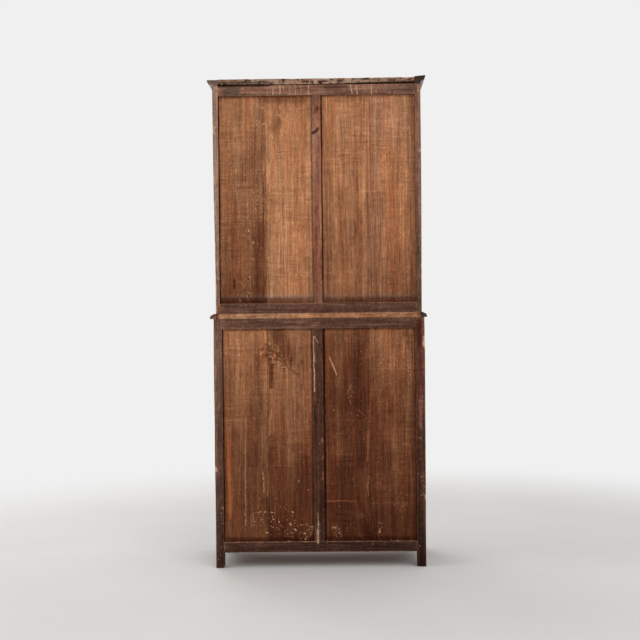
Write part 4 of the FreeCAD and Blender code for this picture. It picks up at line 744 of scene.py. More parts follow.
def old_wood_group():
    """Old wood: broad figure, streaks, fibres and saw marks along the board's own directions, blotches,
    red and grey areas, scratched-open wood, stray specks and rubbed edges.

    The tone changes by a little more than itself, times e to the sum of the noises less 1. Each noise is
    about 0 and scaled by its own strength.
    """
    g, given, out = new_group(
        "old_wood",
        [("Grain", "Vector"), ("Place", "Vector"), ("Board", "Vector"), ("Half", "Vector"), ("Tone", "Float"),
         ("Pale", "Float"), ("Red", "Float"), ("Grey", "Float"), ("Dark Colour", "Color"),
         ("Light Colour", "Color"), ("Red Colour", "Color"), ("Pale Colour", "Color"),
         ("Grey Colour", "Color"), ("Figure", "Float"), ("Fibre", "Float"), ("Saw", "Float"),
         ("Blotch", "Float"), ("Wear", "Float"), ("Specks", "Float"), ("Weathered", "Float")],
        [("Color", "Color"), ("Roughness", "Float"), ("Height", "Float"), ("Worn", "Float")])
    place = given["Place"]
    drift = g.node("ShaderNodeTexNoise", {"Vector": g.vector("MULTIPLY", given["Grain"], (2.2, 9.0, 9.0)),
                                          "Scale": 1.0, "Detail": 2.0}).outputs["Color"]
    drift = g.vector("MULTIPLY", g.vector("SUBTRACT", drift, (0.5, 0.5, 0.5)), (0.0, 0.02, 0.02))
    grain = g.vector("ADD", given["Grain"], drift)
    figure = g.noise(grain, (1.1, 27.0, 27.0), 3.0, 0.55)
    streak = g.noise(grain, (3.2, 85.0, 85.0), 2.0, 0.6)
    fine = g.noise(grain, (6.0, 240.0, 240.0), 2.0, 0.65)
    fibre = g.noise(grain, (30.0, 900.0, 900.0), 2.0)
    coarse_saw = g.times(g.noise(given["Grain"], (105.0, 10.0, 10.0), 2.0), 0.6)
    saw = g.plus(coarse_saw, g.noise(given["Grain"], (390.0, 13.0, 13.0), 2.0), 0.4)
    saw_areas = g.step(g.noise(place, (6.0, 6.0, 9.0), 3.0), 0.42, 0.64)
    blotch = g.noise(place, (8.0, 8.0, 8.0), 5.0, 0.62)
    mottle = g.noise(place, (75.0, 75.0, 48.0), 4.0, 0.65)
    grit = g.noise(place, (240.0, 240.0, 200.0), 2.0, 0.6)
    dashes = g.step(g.noise(grain, (26.0, 230.0, 230.0), 1.0), 0.60, 0.72)
    # the change of tone
    change = g.plus(g.swing(figure, given["Figure"]), g.swing(streak, given["Figure"]), 1.3)
    change = g.plus(change, g.swing(fine, given["Fibre"]), 2.0)
    change = g.add(change, g.swing(fibre, given["Fibre"]))
    glints = g.step(g.noise(grain, (31.0, 270.0, 270.0), 1.0), 0.60, 0.74)
    dashes = g.math("SUBTRACT", g.times(glints, 0.45), g.times(dashes, 0.22))
    change = g.plus(change, dashes, given["Fibre"])
    change = g.plus(change, g.swing(saw, given["Saw"]), g.times(saw_areas, 2.0))
    change = g.add(change, g.swing(blotch, given["Blotch"]))
    change = g.plus(change, g.swing(mottle, given["Blotch"]), 0.9)
    change = g.plus(change, g.swing(grit, given["Blotch"]), 1.2)
    tone = given["Tone"]
    scale = g.math("SUBTRACT", g.math("EXPONENT", change), 1.0)
    tone = g.plus(tone, scale, g.add(g.math("MAXIMUM", tone, 0.0), 0.08))
    colour = g.mix(tone, given["Dark Colour"], given["Light Colour"], free=True)
    # red, grey and weathered areas
    warm = g.noise(grain, (1.3, 23.0, 23.0), 4.0, 0.7)
    red_tone = g.mix(g.times(tone, 1.5, True), given["Dark Colour"], given["Red Colour"])
    red_share = g.times(given["Red"], g.step(streak, 0.25, 0.6))
    red_share = g.plus(red_share, g.step(warm, 0.48, 0.68), 0.45, True)
    red_share = g.plus(red_share, g.step(tone, 0.5, 0.05), 0.4, True)
    colour = g.mix(red_share, colour, red_tone)
    grey_share = g.times(given["Grey"], g.step(blotch, 0.22, 0.5))
    grey_tone = g.mix(g.add(tone, 0.06, True), given["Dark Colour"], given["Grey Colour"])
    colour = g.mix(grey_share, colour, grey_tone)
    olive_tone = g.mix(g.times(tone, 0.75, True), given["Dark Colour"], given["Pale Colour"])
    colour = g.mix(g.times(g.step(warm, 0.50, 0.32), given["Weathered"]), colour, olive_tone)
    # wood laid open by the marks, by specks and by fine curls
    crumbs = g.noise(place, (310.0, 310.0, 210.0), 2.0)
    patches = g.noise(place, (70.0, 70.0, 45.0), 2.0)
    open_wood = g.add(given["Pale"], g.add(g.swing(crumbs, 0.8), g.swing(patches, 0.6)))
    open_wood = g.step(open_wood, 0.5, 0.66)
    cells = g.node("ShaderNodeTexVoronoi", {"Vector": g.vector("MULTIPLY", place, (115.0, 115.0, 80.0)),
                                            "Scale": 1.0})
    chance, strong = g.node("ShaderNodeSeparateColor", {0: cells.outputs["Color"]}).outputs[:2]
    rare = g.step(g.plus(chance, given["Pale"], 1.3), 0.945, 0.955)
    rare = g.times(rare, g.add(strong, 0.25, True))
    ragged_dots = g.add(cells.outputs["Distance"], g.swing(crumbs, 0.5))
    dots = g.times(g.step(ragged_dots, 0.27, 0.13), rare)
    wander = g.noise(place, (62.0, 62.0, 50.0), 1.0)
    curls = g.step(g.math("ABSOLUTE", g.math("SUBTRACT", wander, 0.5)), 0.016, 0.006)
    areas = g.plus(g.noise(place, (23.0, 23.0, 19.0), 2.0), given["Pale"], 0.5)
    curls = g.times(curls, g.step(areas, 0.57, 0.68))
    few = g.times(g.step(given["Pale"], 0.03, 0.14), g.step(given["Pale"], 0.34, 0.22))
    curls = g.times(curls, few)
    dots = g.times(dots, g.plus(given["Specks"], given["Pale"], 2.0, True))
    open_wood = g.math("MAXIMUM", open_wood, g.math("MAXIMUM", dots, g.times(curls, 0.8)))
    # rubbed edges, by how far a point lies from the nearest edge of its board
    away = g.node("ShaderNodeVectorMath", {0: given["Board"]}, operation="ABSOLUTE").outputs[0]
    margin = g.vector("SUBTRACT", given["Half"], away)
    x, y, z = g.node("ShaderNodeSeparateXYZ", {0: margin}).outputs
    nearest = g.math("MINIMUM", g.math("MAXIMUM", x, y), z)
    edge = g.math("MAXIMUM", g.math("MINIMUM", x, y), nearest)
    ragged = g.add(edge, g.swing(patches, 0.007))
    worn = g.times(g.step(ragged, 0.003, -0.0005), given["Wear"])
    colour = g.mix(g.times(worn, 0.5), colour, given["Pale Colour"])
    pale_tone = g.mix(g.step(fibre, 0.3, 0.7), given["Pale Colour"], given["Light Colour"])
    colour = g.mix(open_wood, colour, pale_tone)
    # roughness and relief
    rough = g.add(0.66, g.plus(g.swing(fibre, 0.25), open_wood, 0.15), True)
    height = g.add(g.swing(streak, 0.5), g.add(g.swing(fine, 0.6), g.swing(fibre, 0.4)))
    height = g.plus(height, g.swing(saw, 1.4), given["Saw"])
    height = g.math("SUBTRACT", height, g.times(open_wood, 0.4))
    for title, value in (("Color", colour), ("Roughness", rough), ("Height", height), ("Worn", worn)):
        g.feed(out[title], value)


def new_material(name):
    """A material with one Principled shader, its graph and that shader's inputs."""
    material = bpy.data.materials.new("aged_" + name)
    material.use_nodes = True
    tree = material.node_tree
    shader = next(n for n in tree.nodes if n.type == "BSDF_PRINCIPLED")
    return material, Graph(tree), shader.inputs


def wood_material(name, dark, light, red, bump=0.5, finished=True, **strengths):
    """A wood finish: bare boards between the two given colours, with old shellac where the finish mask says.

    strengths are the group's other numbers, from Figure to Weathered.
    """
    colours = bpy.context.scene.cupboard_colours
    _, g, shader = new_material(name)
    read = {key: g.node("ShaderNodeAttribute", attribute_name=key).outputs for key in
            ("board", "half", "shift", "tone", "pale", "red", "grey", "finish")}
    place = g.node("ShaderNodeTexCoord").outputs["Object"]
    wood = g.node("ShaderNodeGroup", node_tree=bpy.data.node_groups["old_wood"])
    grain = g.vector("ADD", read["board"]["Vector"], read["shift"]["Vector"])
    kept = g.step(g.noise(place, (14.0, 14.0, 14.0), 4.0), 0.22, 0.36)
    finish = g.times(read["finish"]["Fac"], kept)
    values = {
        "Grain": grain, "Place": place, "Board": read["board"]["Vector"], "Half": read["half"]["Vector"],
        "Tone": read["tone"]["Fac"], "Pale": read["pale"]["Fac"], "Red": read["red"]["Fac"],
        "Grey": read["grey"]["Fac"], "Red Colour": red, "Pale Colour": colours.scratch,
        "Grey Colour": colours.dust,
        "Dark Colour": g.mix(finish, dark, colours.finish_dark) if finished else dark,
        "Light Colour": g.mix(finish, light, colours.finish_light) if finished else light,
        **strengths}
    for title, value in values.items():
        g.feed(wood.inputs[title], value)
    g.feed(shader["Base Color"], wood.outputs["Color"])
    smoother = g.times(finish, 0.24)
    g.feed(shader["Roughness"], g.math("SUBTRACT", wood.outputs["Roughness"], smoother, True))
    if finished:
        coat = g.math("SUBTRACT", 0.35, wood.outputs["Worn"])
        g.feed(shader["Coat Weight"], g.times(finish, coat, True))
        shader["Coat Roughness"].default_value = 0.28
    shader["Specular IOR Level"].default_value = 0.1
    g.feed(shader["Normal"], g.bump(wood.outputs["Height"], bump, 0.9 * MM))


def aged_metal_group():
    """Aged metal: two colours by blotchy noise, with fine pitting."""
    g, given, out = new_group(
        "aged_metal", [("Place", "Vector"), ("Clean", "Color"), ("Aged", "Color"), ("Amount", "Float")],
        [("Color", "Color"), ("Roughness", "Float"), ("Height", "Float")])
    blotch = g.noise(given["Place"], (90.0, 90.0, 90.0), 4.0, 0.65)
    pits = g.noise(given["Place"], (700.0, 700.0, 700.0), 3.0)
    share = g.step(g.add(blotch, given["Amount"]), 0.45, 0.75)
    colour = g.mix(share, given["Clean"], given["Aged"])
    colour = g.mix(g.step(pits, 0.6, 0.8), colour, given["Aged"])
    g.feed(out["Color"], colour)
    g.feed(out["Roughness"], g.plus(0.36, share, 0.3))
    g.feed(out["Height"], g.add(g.swing(blotch, 1.0), g.swing(pits, 0.6)))


def metal_material(name, brass_front=None):
    """Dark iron, with worn brass wherever Y is less than brass_front, for a lock's escutcheon."""
    colours = bpy.context.scene.cupboard_colours
    _, g, shader = new_material(name)
    place = g.node("ShaderNodeTexCoord").outputs["Object"]
    tree = bpy.data.node_groups["aged_metal"]

    def worn(clean, aged, share):
        """The group's outputs for one metal."""
        return g.node("ShaderNodeGroup", {"Place": place, "Clean": clean, "Aged": aged, "Amount": share},
                      node_tree=tree).outputs

    iron = worn(colours.iron, colours.rust, 0.0)
    colour, rough, height = iron["Color"], iron["Roughness"], iron["Height"]
    if brass_front is not None:
        brass = worn(colours.brass, colours.tarnish, 0.02)
        depth = g.node("ShaderNodeSeparateXYZ", {0: place}).outputs[1]
        front = g.math("LESS_THAN", depth, brass_front)
        colour = g.mix(front, colour, brass["Color"])
        rough = g.math("SUBTRACT", rough, g.times(front, 0.1))
    g.feed(shader["Base Color"], colour)
    g.feed(shader["Roughness"], rough)
    shader["Metallic"].default_value = 0.85
    g.feed(shader["Normal"], g.bump(height, 0.35, 0.4 * MM))


# Operators

ESCUTCHEON = 3.1 * MM  # how deep the brass reaches from the front of a lock
JOIN_WITHIN, IRON_BEVEL = 0.005 * MM, 0.35 * MM
POST_OUTSIDE = 0.4  # a board that reaches this far from the middle, in metres of X, shows at the side


class CUPBOARD_OT_finishes(bpy.types.Operator):
    """Makes the materials of the woods and metals"""

    bl_idname = "cupboard.finishes"
    bl_label = "Finishes"

    def execute(self, context):
        c = context.scene.cupboard_colours
        old_wood_group()
        aged_metal_group()
        wood_material("back_frame", c.frame_dark, c.frame_light, c.red, bump=0.55,
                      Figure=1.2, Fibre=0.7, Saw=0.3, Blotch=1.1, Wear=0.35, Specks=0.9, Weathered=0.32)
        wood_material("back_panel", c.panel_dark, c.panel_light, c.orange, bump=0.6, finished=False,
                      Figure=0.9, Fibre=0.65, Saw=0.8, Blotch=0.8, Wear=0.0, Specks=0.6, Weathered=0.22)
        wood_material("board_edge", c.panel_dark, c.panel_light, c.orange, bump=0.8, finished=False,
                      Figure=0.9, Fibre=0.8, Saw=0.6, Blotch=1.4, Wear=0.2, Specks=0.6, Weathered=0.34)
        wood_material("moulding_wood", c.frame_dark, c.frame_light, c.red, bump=0.35,
                      Figure=0.9, Fibre=0.4, Saw=0.1, Blotch=0.8, Wear=0.5, Specks=0.3, Weathered=0.2)
        for name, wear in (("case_wood", 0.7), ("door_frame", 0.6), ("door_panel", 0.12)):
            wood_material(name, c.raw_dark, c.raw_light, c.orange, bump=0.3,
                          Figure=1.0, Fibre=0.4, Saw=0.1, Blotch=0.5, Wear=wear, Specks=0.1, Weathered=0.06)
        wood_material("raw_wood", c.raw_dark, c.raw_light, c.orange, bump=0.5, finished=False,
                      Figure=1.1, Fibre=0.5, Saw=0.4, Blotch=0.5, Wear=0.1, Specks=0.2, Weathered=0.3)
        wood_material("peg_wood", c.frame_dark, c.frame_light, c.orange, bump=0.4,
                      Figure=0.8, Fibre=0.5, Saw=0.0, Blotch=0.6, Wear=0.2, Specks=0.0, Weathered=0.1)
        metal_material("iron")
        metal_material("base_lock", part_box("base_lock_and_escutcheon")[0].y + ESCUTCHEON)
        metal_material("upper_lock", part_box("upper_lock_and_escutcheon")[0].y + ESCUTCHEON)
        return {"FINISHED"}


def leaning(offsets):
    """A change of shape for a post: its outer face stands out by offsets in millimetres, spaced evenly up
    the post, and the change fades to nothing at its inner face."""

    def change(sections):
        """Moves every point along X by its share of the offset at its height."""
        x, y, z = np.moveaxis(sections, -1, 0)
        stand = np.interp(z, np.linspace(z.min(), z.max(), len(offsets)), offsets) * MM
        inner, outer = np.abs(x).min(), np.abs(x).max()
        return np.stack([x + np.sign(x) * stand * (np.abs(x) - inner) / (outer - inner), y, z], -1)

    return change


def back_member(node, low, high, axis, tones, marks, red=0.0, grey=0.0, chips=(), reshape=None,
                frayed=0.0):
    """One worn board of a back's frame, in place of its node.

    tones run along it from its low end; where they grow darker towards the floor they are partly darker
    wood and partly painted shade. red and grey tint the whole of it. chips are as worn_board takes them,
    reshape changes its sections, and frayed is how pale its outer arris is, in patches.
    """
    seed = seed_of(node)
    sections, local, half, chipped = worn_board(low, high, axis, seed, chips=chips)
    if reshape is not None:
        sections = reshape(sections)
    share = np.linspace(0, 1, len(tones))
    tone = np.interp(local[..., 0] / (2 * half[0]) + 0.5, share, tones)
    x = np.abs(sections[..., 0])
    outer = np.abs(np.array([low[0], high[0]])).max()
    is_post = axis == "z" and outer > POST_OUTSIDE
    side = eased(x, outer - 2.2 * MM, outer - 1.4 * MM) if is_post else 0.0
    near_back = eased(sections[..., 1], high[1] - 5 * MM, high[1] - 2 * MM)
    patches = frayed * near_back * eased(x, outer - 15 * MM, outer - 6 * MM)
    patches = patches * ripple(sections[..., 2] / 0.06, x / 0.01, seed + 21)
    tone = tone * (1 + 0.3 * eased(x, outer - 22 * MM, outer - 2 * MM) * (outer > POST_OUTSIDE))
    fields = mark_fields(sections, tone, marks, seed + 3, facing=high[1], finish=side, red=red, grey=grey,
                         pale=np.maximum(0.75 * chipped, patches))
    boards = Boards()
    boards.add(sections, local, half, seed, **fields)
    place("worn_" + node, boards.mesh("worn_" + node), node, "back_frame", "back_frame")


class CUPBOARD_OT_base_back_frame(bpy.types.Operator):
    """Builds the base's worn rear posts, back rails and muntin"""

    bl_idname = "cupboard.base_back_frame"
    bl_label = "Base back frame"

    def execute(self, context):
        # The tones grow darker towards the floor: partly darker wood, and partly painted shade for the light
        # falling off downwards.
        left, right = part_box("base_post_rear_left"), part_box("base_post_rear_right")
        chip = 9 * MM
        back_member("base_post_rear_left", *left, "z", (0.01, 0.10, 0.14, 0.18, 0.22), BASE_MARKS,
                    red=0.12, chips=((0.975, 0.036, 1, chip), (0.30, 0.02, 1, chip * 0.4)),
                    reshape=leaning((0, 0, 1, 1.8, 2, 3, 3.5, 2)))
        back_member("base_post_rear_right", *right, "z", (0.06, 0.15, 0.24, 0.37, 0.40), BASE_MARKS,
                    grey=0.2, chips=((0.43, 0.016, 0, chip * 0.6), (0.62, 0.03, 0, chip * 0.3)),
                    reshape=leaning((-3, -3.5, -3, -1.5, -2.5, -1, -1, -2)))
        for node, tones, grey in (("base_back_rail_top", (0.17, 0.19, 0.23, 0.26), 0.12),
                                  ("base_back_rail_bottom", (0.07, 0.08, 0.10, 0.10), 0.1)):
            low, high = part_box(node)
            low.x, high.x = left[1].x, right[0].x
            back_member(node, low, high, "x", tones, BASE_MARKS, grey=grey)
        low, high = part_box("base_back_muntin")
        low.z, high.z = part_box("base_back_rail_bottom")[1].z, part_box("base_back_rail_top")[0].z
        back_member("base_back_muntin", low, high, "z", (0.11, 0.11, 0.12, 0.16), BASE_MARKS)
        return {"FINISHED"}


class CUPBOARD_OT_upper_back_frame(bpy.types.Operator):
    """Builds the upper case's worn rear stiles, back rails and muntin"""

    bl_idname = "cupboard.upper_back_frame"
    bl_label = "Upper back frame"

    def execute(self, context):
        # The tones grow darker lower down: partly darker wood, and partly painted shade for the light falling
        # off downwards.
        left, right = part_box("upper_stile_rear_left"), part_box("upper_stile_rear_right")
        back_member("upper_stile_rear_left", *left, "z", (0.22, 0.28, 0.38, 0.40), UPPER_MARKS,
                    grey=0.1, frayed=0.5, chips=((1.8, 0.012, 1, 4 * MM), (1.30, 0.02, 1, 3 * MM)),
                    reshape=leaning((0.5, 1.5, 2.6, 3.8, 4.2, 4.2, 4)))
        back_member("upper_stile_rear_right", *right, "z", (0.56, 0.62, 0.69, 0.76), UPPER_MARKS,
                    grey=0.5, frayed=1.0,
                    chips=((1.9, 0.02, 0, 4 * MM), (1.26, 0.02, 0, 4 * MM), (1.55, 0.01, 0, 3 * MM)),
                    reshape=leaning((-3.6, -3.4, -1.6, 0.8, 2, 3, 3.6)))
        low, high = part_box("upper_back_rail_bottom")
        low.x, high.x = left[1].x, right[0].x
        back_member("upper_back_rail_bottom", low, high, "x", (0.22, 0.23, 0.27, 0.31), UPPER_MARKS, grey=0.1)
        low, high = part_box("upper_back_rail_top")
        low.x, high.x = left[1].x, right[0].x
        top, middle = high.z, (low.y + high.y) / 2

        def dipped(sections):
            """Lowers the back arris of the top edge towards +X, where it has broken away, by a depth times
            noise along X."""
            x, y, z = np.moveaxis(sections, -1, 0)
            fall = 7.5 * MM * eased(x, 0.18, 0.24) * (0.8 + 0.4 * ripple(x / 0.02, 0.5, 31))
            shown = eased(y, middle - 3 * MM, middle + 4 * MM) * eased(z, top - 12 * MM, top - 1 * MM)
            return np.stack([x, y, z - fall * shown], -1)

        back_member("upper_back_rail_top", low, high, "x", (0.32, 0.42, 0.44, 0.47, 0.45), UPPER_MARKS,
                    grey=0.12, reshape=dipped)
        low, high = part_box("upper_back_muntin")
        low.z, high.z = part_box("upper_back_rail_bottom")[1].z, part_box("upper_back_rail_top")[0].z
        back_member("upper_back_muntin", low, high, "z", (0.50, 0.52, 0.70, 0.98, 0.88, 0.30), UPPER_MARKS,
                    red=0.6)
        return {"FINISHED"}


# How each back panel's edges lie, towards -X, towards +X, below and above: the width of the bevel and of
# the open gap beside it in millimetres, and how much the bevel darkens. Then each board's tone at four
# heights from the top, first for the board towards -X, and how far in millimetres the joint between the
# two boards lies from its place in the solids. The tones mostly grow darker towards the bottom: partly
# darker wood, and partly painted shade for the light falling off downwards.
PANELS = {
    "upper_back_panel_right": (((9, 0, 0.2), (6, 4, 0.3), (27, 0, 0.6), (12, 0, 0.35)),
                               ((0.63, 0.81, 0.73, 0.66), (0.60, 0.50, 0.40, 0.25)), 0),
    "upper_back_panel_left": (((34, 0, 0.30), (7, 3, 0.1), (26, 0, 0.55), (12, 0, 0.3)),
                              ((0.68, 0.61, 0.58, 0.34), (0.66, 0.68, 0.50, 0.40)), -9),
    "base_back_panel_right": (((10, 0, 0.35), (10, 3, 0.3), (21, 0, 0.55), (10, 0, 0.25)),
                              ((0.48, 0.45, 0.21, 0.10), (0.60, 0.40, 0.24, 0.21)), 0),
    "base_back_panel_left": (((20, 0, 0.4), (10, 9, 0.35), (21, 0, 0.6), (12, 0, 0.25)),
                             ((0.50, 0.24, 0.17, 0.07), (0.30, 0.14, 0.16, 0.10)), 0),
}


def panel_board(low, high, opening, edges, tones, marks, seed, board):
    """One board of a back panel: a height field over X and Z in front, and a flat face behind.

    The depth behind the frame's face is the recess, plus for each edge of the opening a bevel that falls
    evenly to the tongue, plus a steep gap, the cup across the board and saw marks that follow noise.
    board is 0 for the board towards -X and 1 for the other, which stands a little deeper.
    """
    wear = bpy.context.scene.cupboard_wear
    recess, tongue, tongue_play = 3.8 * MM, 9.75 * MM, 0.2 * MM
    wander, uneven, roughness, joint_drop = 2.5 * MM, 0.7 * MM, 0.5 * MM, 1.6 * MM
    # the near-black tone given to an open gap is painted shade for the inside of the joint
    marks_reach, gap_shade_tone = 11 * MM, 0.03
    back = opening[1][1]
    xs = np.linspace(low[0], high[0], int((high[0] - low[0]) / wear.grid))
    zs = np.linspace(low[2], high[2], int((high[2] - low[2]) / wear.grid))
    x, z = np.meshgrid(xs, zs)
    distances = (x - opening[0][0], opening[1][0] - x, z - opening[0][2], opening[1][2] - z)
    drop, gap, shade = np.zeros_like(x), np.zeros_like(x), np.ones_like(x)
    for way, (distance, (width, open_joint, darkness)) in enumerate(zip(distances, edges)):
        line = z if way < 2 else x
        edge = distance + wander * (ripple(line / 0.05, way + 0.5, seed + 11) - 0.5)
        drop = np.maximum(drop, np.clip(1 - edge / (width * MM), 0, 1))
        shade *= 1 - darkness * eased(edge, width * MM * 1.25, width * MM * 0.6)
        if open_joint:
            gap = np.maximum(gap, eased(edge, open_joint * MM + 1.5 * MM, open_joint * MM - 1.0 * MM))
    share = (x - low[0]) / (high[0] - low[0])
    from_side = np.minimum(x - low[0], high[0] - x)
    cup = wear.cup * (1 - (2 * share - 1) ** 2)
    deeper = uneven * board
    saw = wear.saw * (ripple(z / 0.0032, x / 0.09, seed + 13, 2) - 0.5)
    rough = roughness * (ripple(z / 0.12, x / 0.025, seed + 17) - 0.5)
    joint = joint_drop * eased(from_side, 2.6 * MM, 0.4 * MM)
    field = recess + deeper + cup + saw + rough + joint
    inside = np.all([d > 0 for d in distances], axis=0)
    depth = field + (tongue - recess) * drop
    depth = np.maximum(depth, gap * wear.gap_depth)
    depth = np.where(inside, np.minimum(depth, wear.gap_depth), tongue + tongue_play)
    front = np.stack([x, back - depth, z], -1)
    behind_x = np.linspace(high[0], low[0], 9)
    behind = np.stack(np.broadcast_arrays(behind_x[None, :], low[1], zs[:, None]), -1)

    def all_round(values, behind_value):
        """Values of the front's points, with one value for the flat face behind."""
        return np.concatenate([values, np.full(behind.shape[:2], behind_value)], axis=1)

    sections = np.concatenate([front, behind], axis=1)
    local = sections - (np.asarray(low) + np.asarray(high)) / 2
    local = local[..., [2, 0, 1]]
    half = (np.asarray(high) - np.asarray(low))[[2, 0, 1]] / 2
    # Tones by height, mostly darker towards the bottom: partly darker wood and partly painted shade for the
    # light falling off downwards.
    down = 1 - (sections[..., 2] - opening[0][2]) / (opening[1][2] - opening[0][2])
    tone = np.interp(down, np.linspace(0, 1, len(tones)), tones)
    shade, gap = all_round(shade, 1.0), all_round(gap, 0.0)
    # Darker within a few millimetres of each board's sides, in patches: painted shade in the joint between
    # the two boards, with some dirt.
    joint_shade_and_dirt = all_round(eased(from_side, 3.5 * MM, 0.5 * MM) * ripple(z / 0.05, x / 0.05, seed + 19), 0.0)
    tone = tone * shade * (1 - 0.45 * joint_shade_and_dirt)
    fields = mark_fields(sections, tone, marks, seed + 3, facing=back - marks_reach)
    # Painted shade: the open gap beside a shrunken panel is coloured near black, for the shade deep in the
    # joint.
    fields["tone"] = fields["tone"] * (1 - gap) + gap_shade_tone * gap
    fields["pale"] = fields["pale"] * (1 - gap)
    return sections, local, half, fields


def build_panel(node, marks, uprights, muntin, rails):
    """Both boards of one back panel, in place of its node. uprights are the outer ones of that back, left
    and right, and rails the lower and the upper one."""
    right = node.endswith("right")
    outer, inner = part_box(uprights[right]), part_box(muntin)
    below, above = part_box(rails[0])[1].z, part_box(rails[1])[0].z
    side = (inner[1].x, outer[0].x) if right else (outer[1].x, inner[0].x)
    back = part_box(rails[0])[1].y
    opening = ((side[0], 0.0, below), (side[1], back, above))
    edges, tones, moved = PANELS[node]
    boards = Boards()
    pair = sorted(solid_boxes(node), key=lambda b: b[0][0])
    pair[0][1][0] += moved * MM
    pair[1][0][0] += moved * MM
    for number, (low, high) in enumerate(pair):
        seed = seed_of(node) + 500 * number
        sections, local, half, fields = panel_board(low, high, opening, edges, tones[number], marks,
                                                    seed, number)
        boards.add(sections, local, half, seed, **fields)
    place("worn_" + node, boards.mesh("worn_" + node), node, "back_panel", "back_panel")


class CUPBOARD_OT_base_back_panels(bpy.types.Operator):
    """Builds the base's two back panels, each of two rough-sawn boards"""

    bl_idname = "cupboard.base_back_panels"
    bl_label = "Base back panels"

    def execute(self, context):
        for side in ("left", "right"):
            build_panel("base_back_panel_" + side, BASE_MARKS,
                        ("base_post_rear_left", "base_post_rear_right"), "base_back_muntin",
                        ("base_back_rail_bottom", "base_back_rail_top"))
        return {"FINISHED"}


class CUPBOARD_OT_upper_back_panels(bpy.types.Operator):
    """Builds the upper case's two back panels, each of two rough-sawn boards"""

    bl_idname = "cupboard.upper_back_panels"
    bl_label = "Upper back panels"

    def execute(self, context):
        for side in ("left", "right"):
            build_panel("upper_back_panel_" + side, UPPER_MARKS,
                        ("upper_stile_rear_left", "upper_stile_rear_right"), "upper_back_muntin",
                        ("upper_back_rail_bottom", "upper_back_rail_top"))
        return {"FINISHED"}


class CUPBOARD_OT_top_boards(bpy.types.Operator):
    """Builds the top boards of both cases, whose raw back edges show"""

    bl_idname = "cupboard.top_boards"
    bl_label = "Top boards"

    def execute(self, context):
        self.top("base_top", (0.2, 0.57, 0.6, 0.63, 0.82, 1.0, 0.2), (-442, -425, -200, 0, 200, 425, 442),
                 0.1, self.even)
        self.top("upper_top", (0.42, 0.5, 0.95, 0.95, 0.78, 0.76), (-427, -200, -60, 110, 240, 427),
                 1.0, self.ragged)
        return {"FINISHED"}

    def top(self, node, tones, places, grey, reshape):
        """The boards of one top, the rearmost with its edge reshaped.

        tones are the back edge's at places in millimetres of X, between which they change evenly, and grey
        is how weathered that edge is: greyer, stained, paler at its upper arris towards -X, and soiled
        along its lower one.
        """
        boards = Boards()
        solids = sorted(solid_boxes(node), key=lambda b: b[0][1])
        rearmost = solids[-1][1][1]
        for number, (low, high) in enumerate(solids):
            seed = seed_of(node) + 90 * number
            sections, local, half, chipped = worn_board(low, high, "x", seed, spacing=4 * MM)
            if number == len(solids) - 1:
                sections = reshape(sections, low, high)
            x, y, z = np.moveaxis(sections, -1, 0)
            rear = eased(y, rearmost - 12 * MM, rearmost - 4 * MM)
            tone = 0.5 + rear * (np.interp(x / MM, places, tones) - 0.5)
            marks = ripple(x / (0.02 + 0.1 * (rear < 0.5)), (z + y) / 0.006, seed + 2)
            stains = eased(ripple(x / 0.016, z / 0.005, seed + 6), 0.52, 0.7) * rear
            dusty = eased(z, high[2] - 2 * MM, high[2] - 0.5 * MM)
            dusty = dusty * (0.5 + 0.3 * ripple(x / 0.06, y / 0.05, seed + 8))
            arris = grey * eased(z, high[2] - 6 * MM, high[2] - 2 * MM) * eased(x, 0.03, -0.06) * rear
            soiled = eased(z, low[2] + 5 * MM, low[2]) * eased(x, 0.16, 0.21)
            lower = 0.6 * eased(z, low[2] + 1 * MM, low[2] - 4 * MM) * eased(x, -0.12, -0.2)
            soiled = grey * rear * np.maximum(soiled, lower)
            tone = tone * (1 + (0.2 + 0.4 * rear) * (marks - 0.5)) * (1 - grey * stains)
            pale = np.maximum(0.7 * chipped, (0.42 + 0.1 * grey) * eased(marks, 0.52, 0.72))
            pale = pale * (0.4 + 0.6 * rear)
            boards.add(sections, local, half, seed, tone=tone * (1 - 0.62 * soiled),
                       grey=np.maximum(grey * rear * (0.3 + 0.9 * marks), dusty),
                       pale=(pale + 0.55 * arris) * (1 - 0.8 * soiled))
        place("worn_" + node, boards.mesh("worn_" + node), node, "raw_wood", "board_edge")

    def even(self, sections, low, high):
        """The base top's edge: a few shallow splits and hollows that go in by noise along X."""
        x, y, z = np.moveaxis(sections, -1, 0)
        rear = eased(y, high[1] - 12 * MM, high[1] - 1 * MM)
        splits = 3 * MM * eased(ripple(x / 0.02, z / 0.01, 43), 0.72, 0.85)
        hollow = 1.8 * MM * ripple(x / 0.05, z / 0.006, 41) + splits
        return np.stack([x, y - hollow * rear, z], -1)

    def ragged(self, sections, low, high):
        """The upper top's edge: its lower arris hangs down in splinters, by depths in millimetres at places
        of X, times noise. Its upper one is rubbed off, and its face goes in by noise."""
        places, depths = (-436, -343, -200, -61, 112, 180, 240, 429), (8, 7.5, 10, 13, 13.5, 12.5, 11, 10.5)
        deepest = 15 * MM
        x, y, z = np.moveaxis(sections, -1, 0)
        rear = eased(y, high[1] - 10.5 * MM, high[1] - 9 * MM)
        under = eased(z, high[2] - 4 * MM, low[2] + 1 * MM)
        hang = np.interp(x / MM, places, depths) * MM
        hang = hang * (0.82 + 0.3 * ripple(x / 0.012, 0.5, 47))
        hang = np.clip(hang + 1.2 * MM * (ripple(x / 0.006, 0.5, 49) - 0.5), 0, deepest)
        rubbed = 3.5 * MM * ripple(x / 0.04, 0.5, 51) * eased(z, low[2] + 6 * MM, high[2])
        rubbed = rubbed * eased(y, high[1] - 22 * MM, high[1] - 2 * MM)
        splits = 3 * MM * eased(ripple(x / 0.012, z / 0.006, 55), 0.7, 0.9)
        hollow = (2.5 * MM * ripple(x / 0.03, z / 0.004, 53) + splits) * eased(y, high[1] - 9 * MM, high[1])
        return np.stack([x, y - hollow, z - hang * rear * under - rubbed], -1)


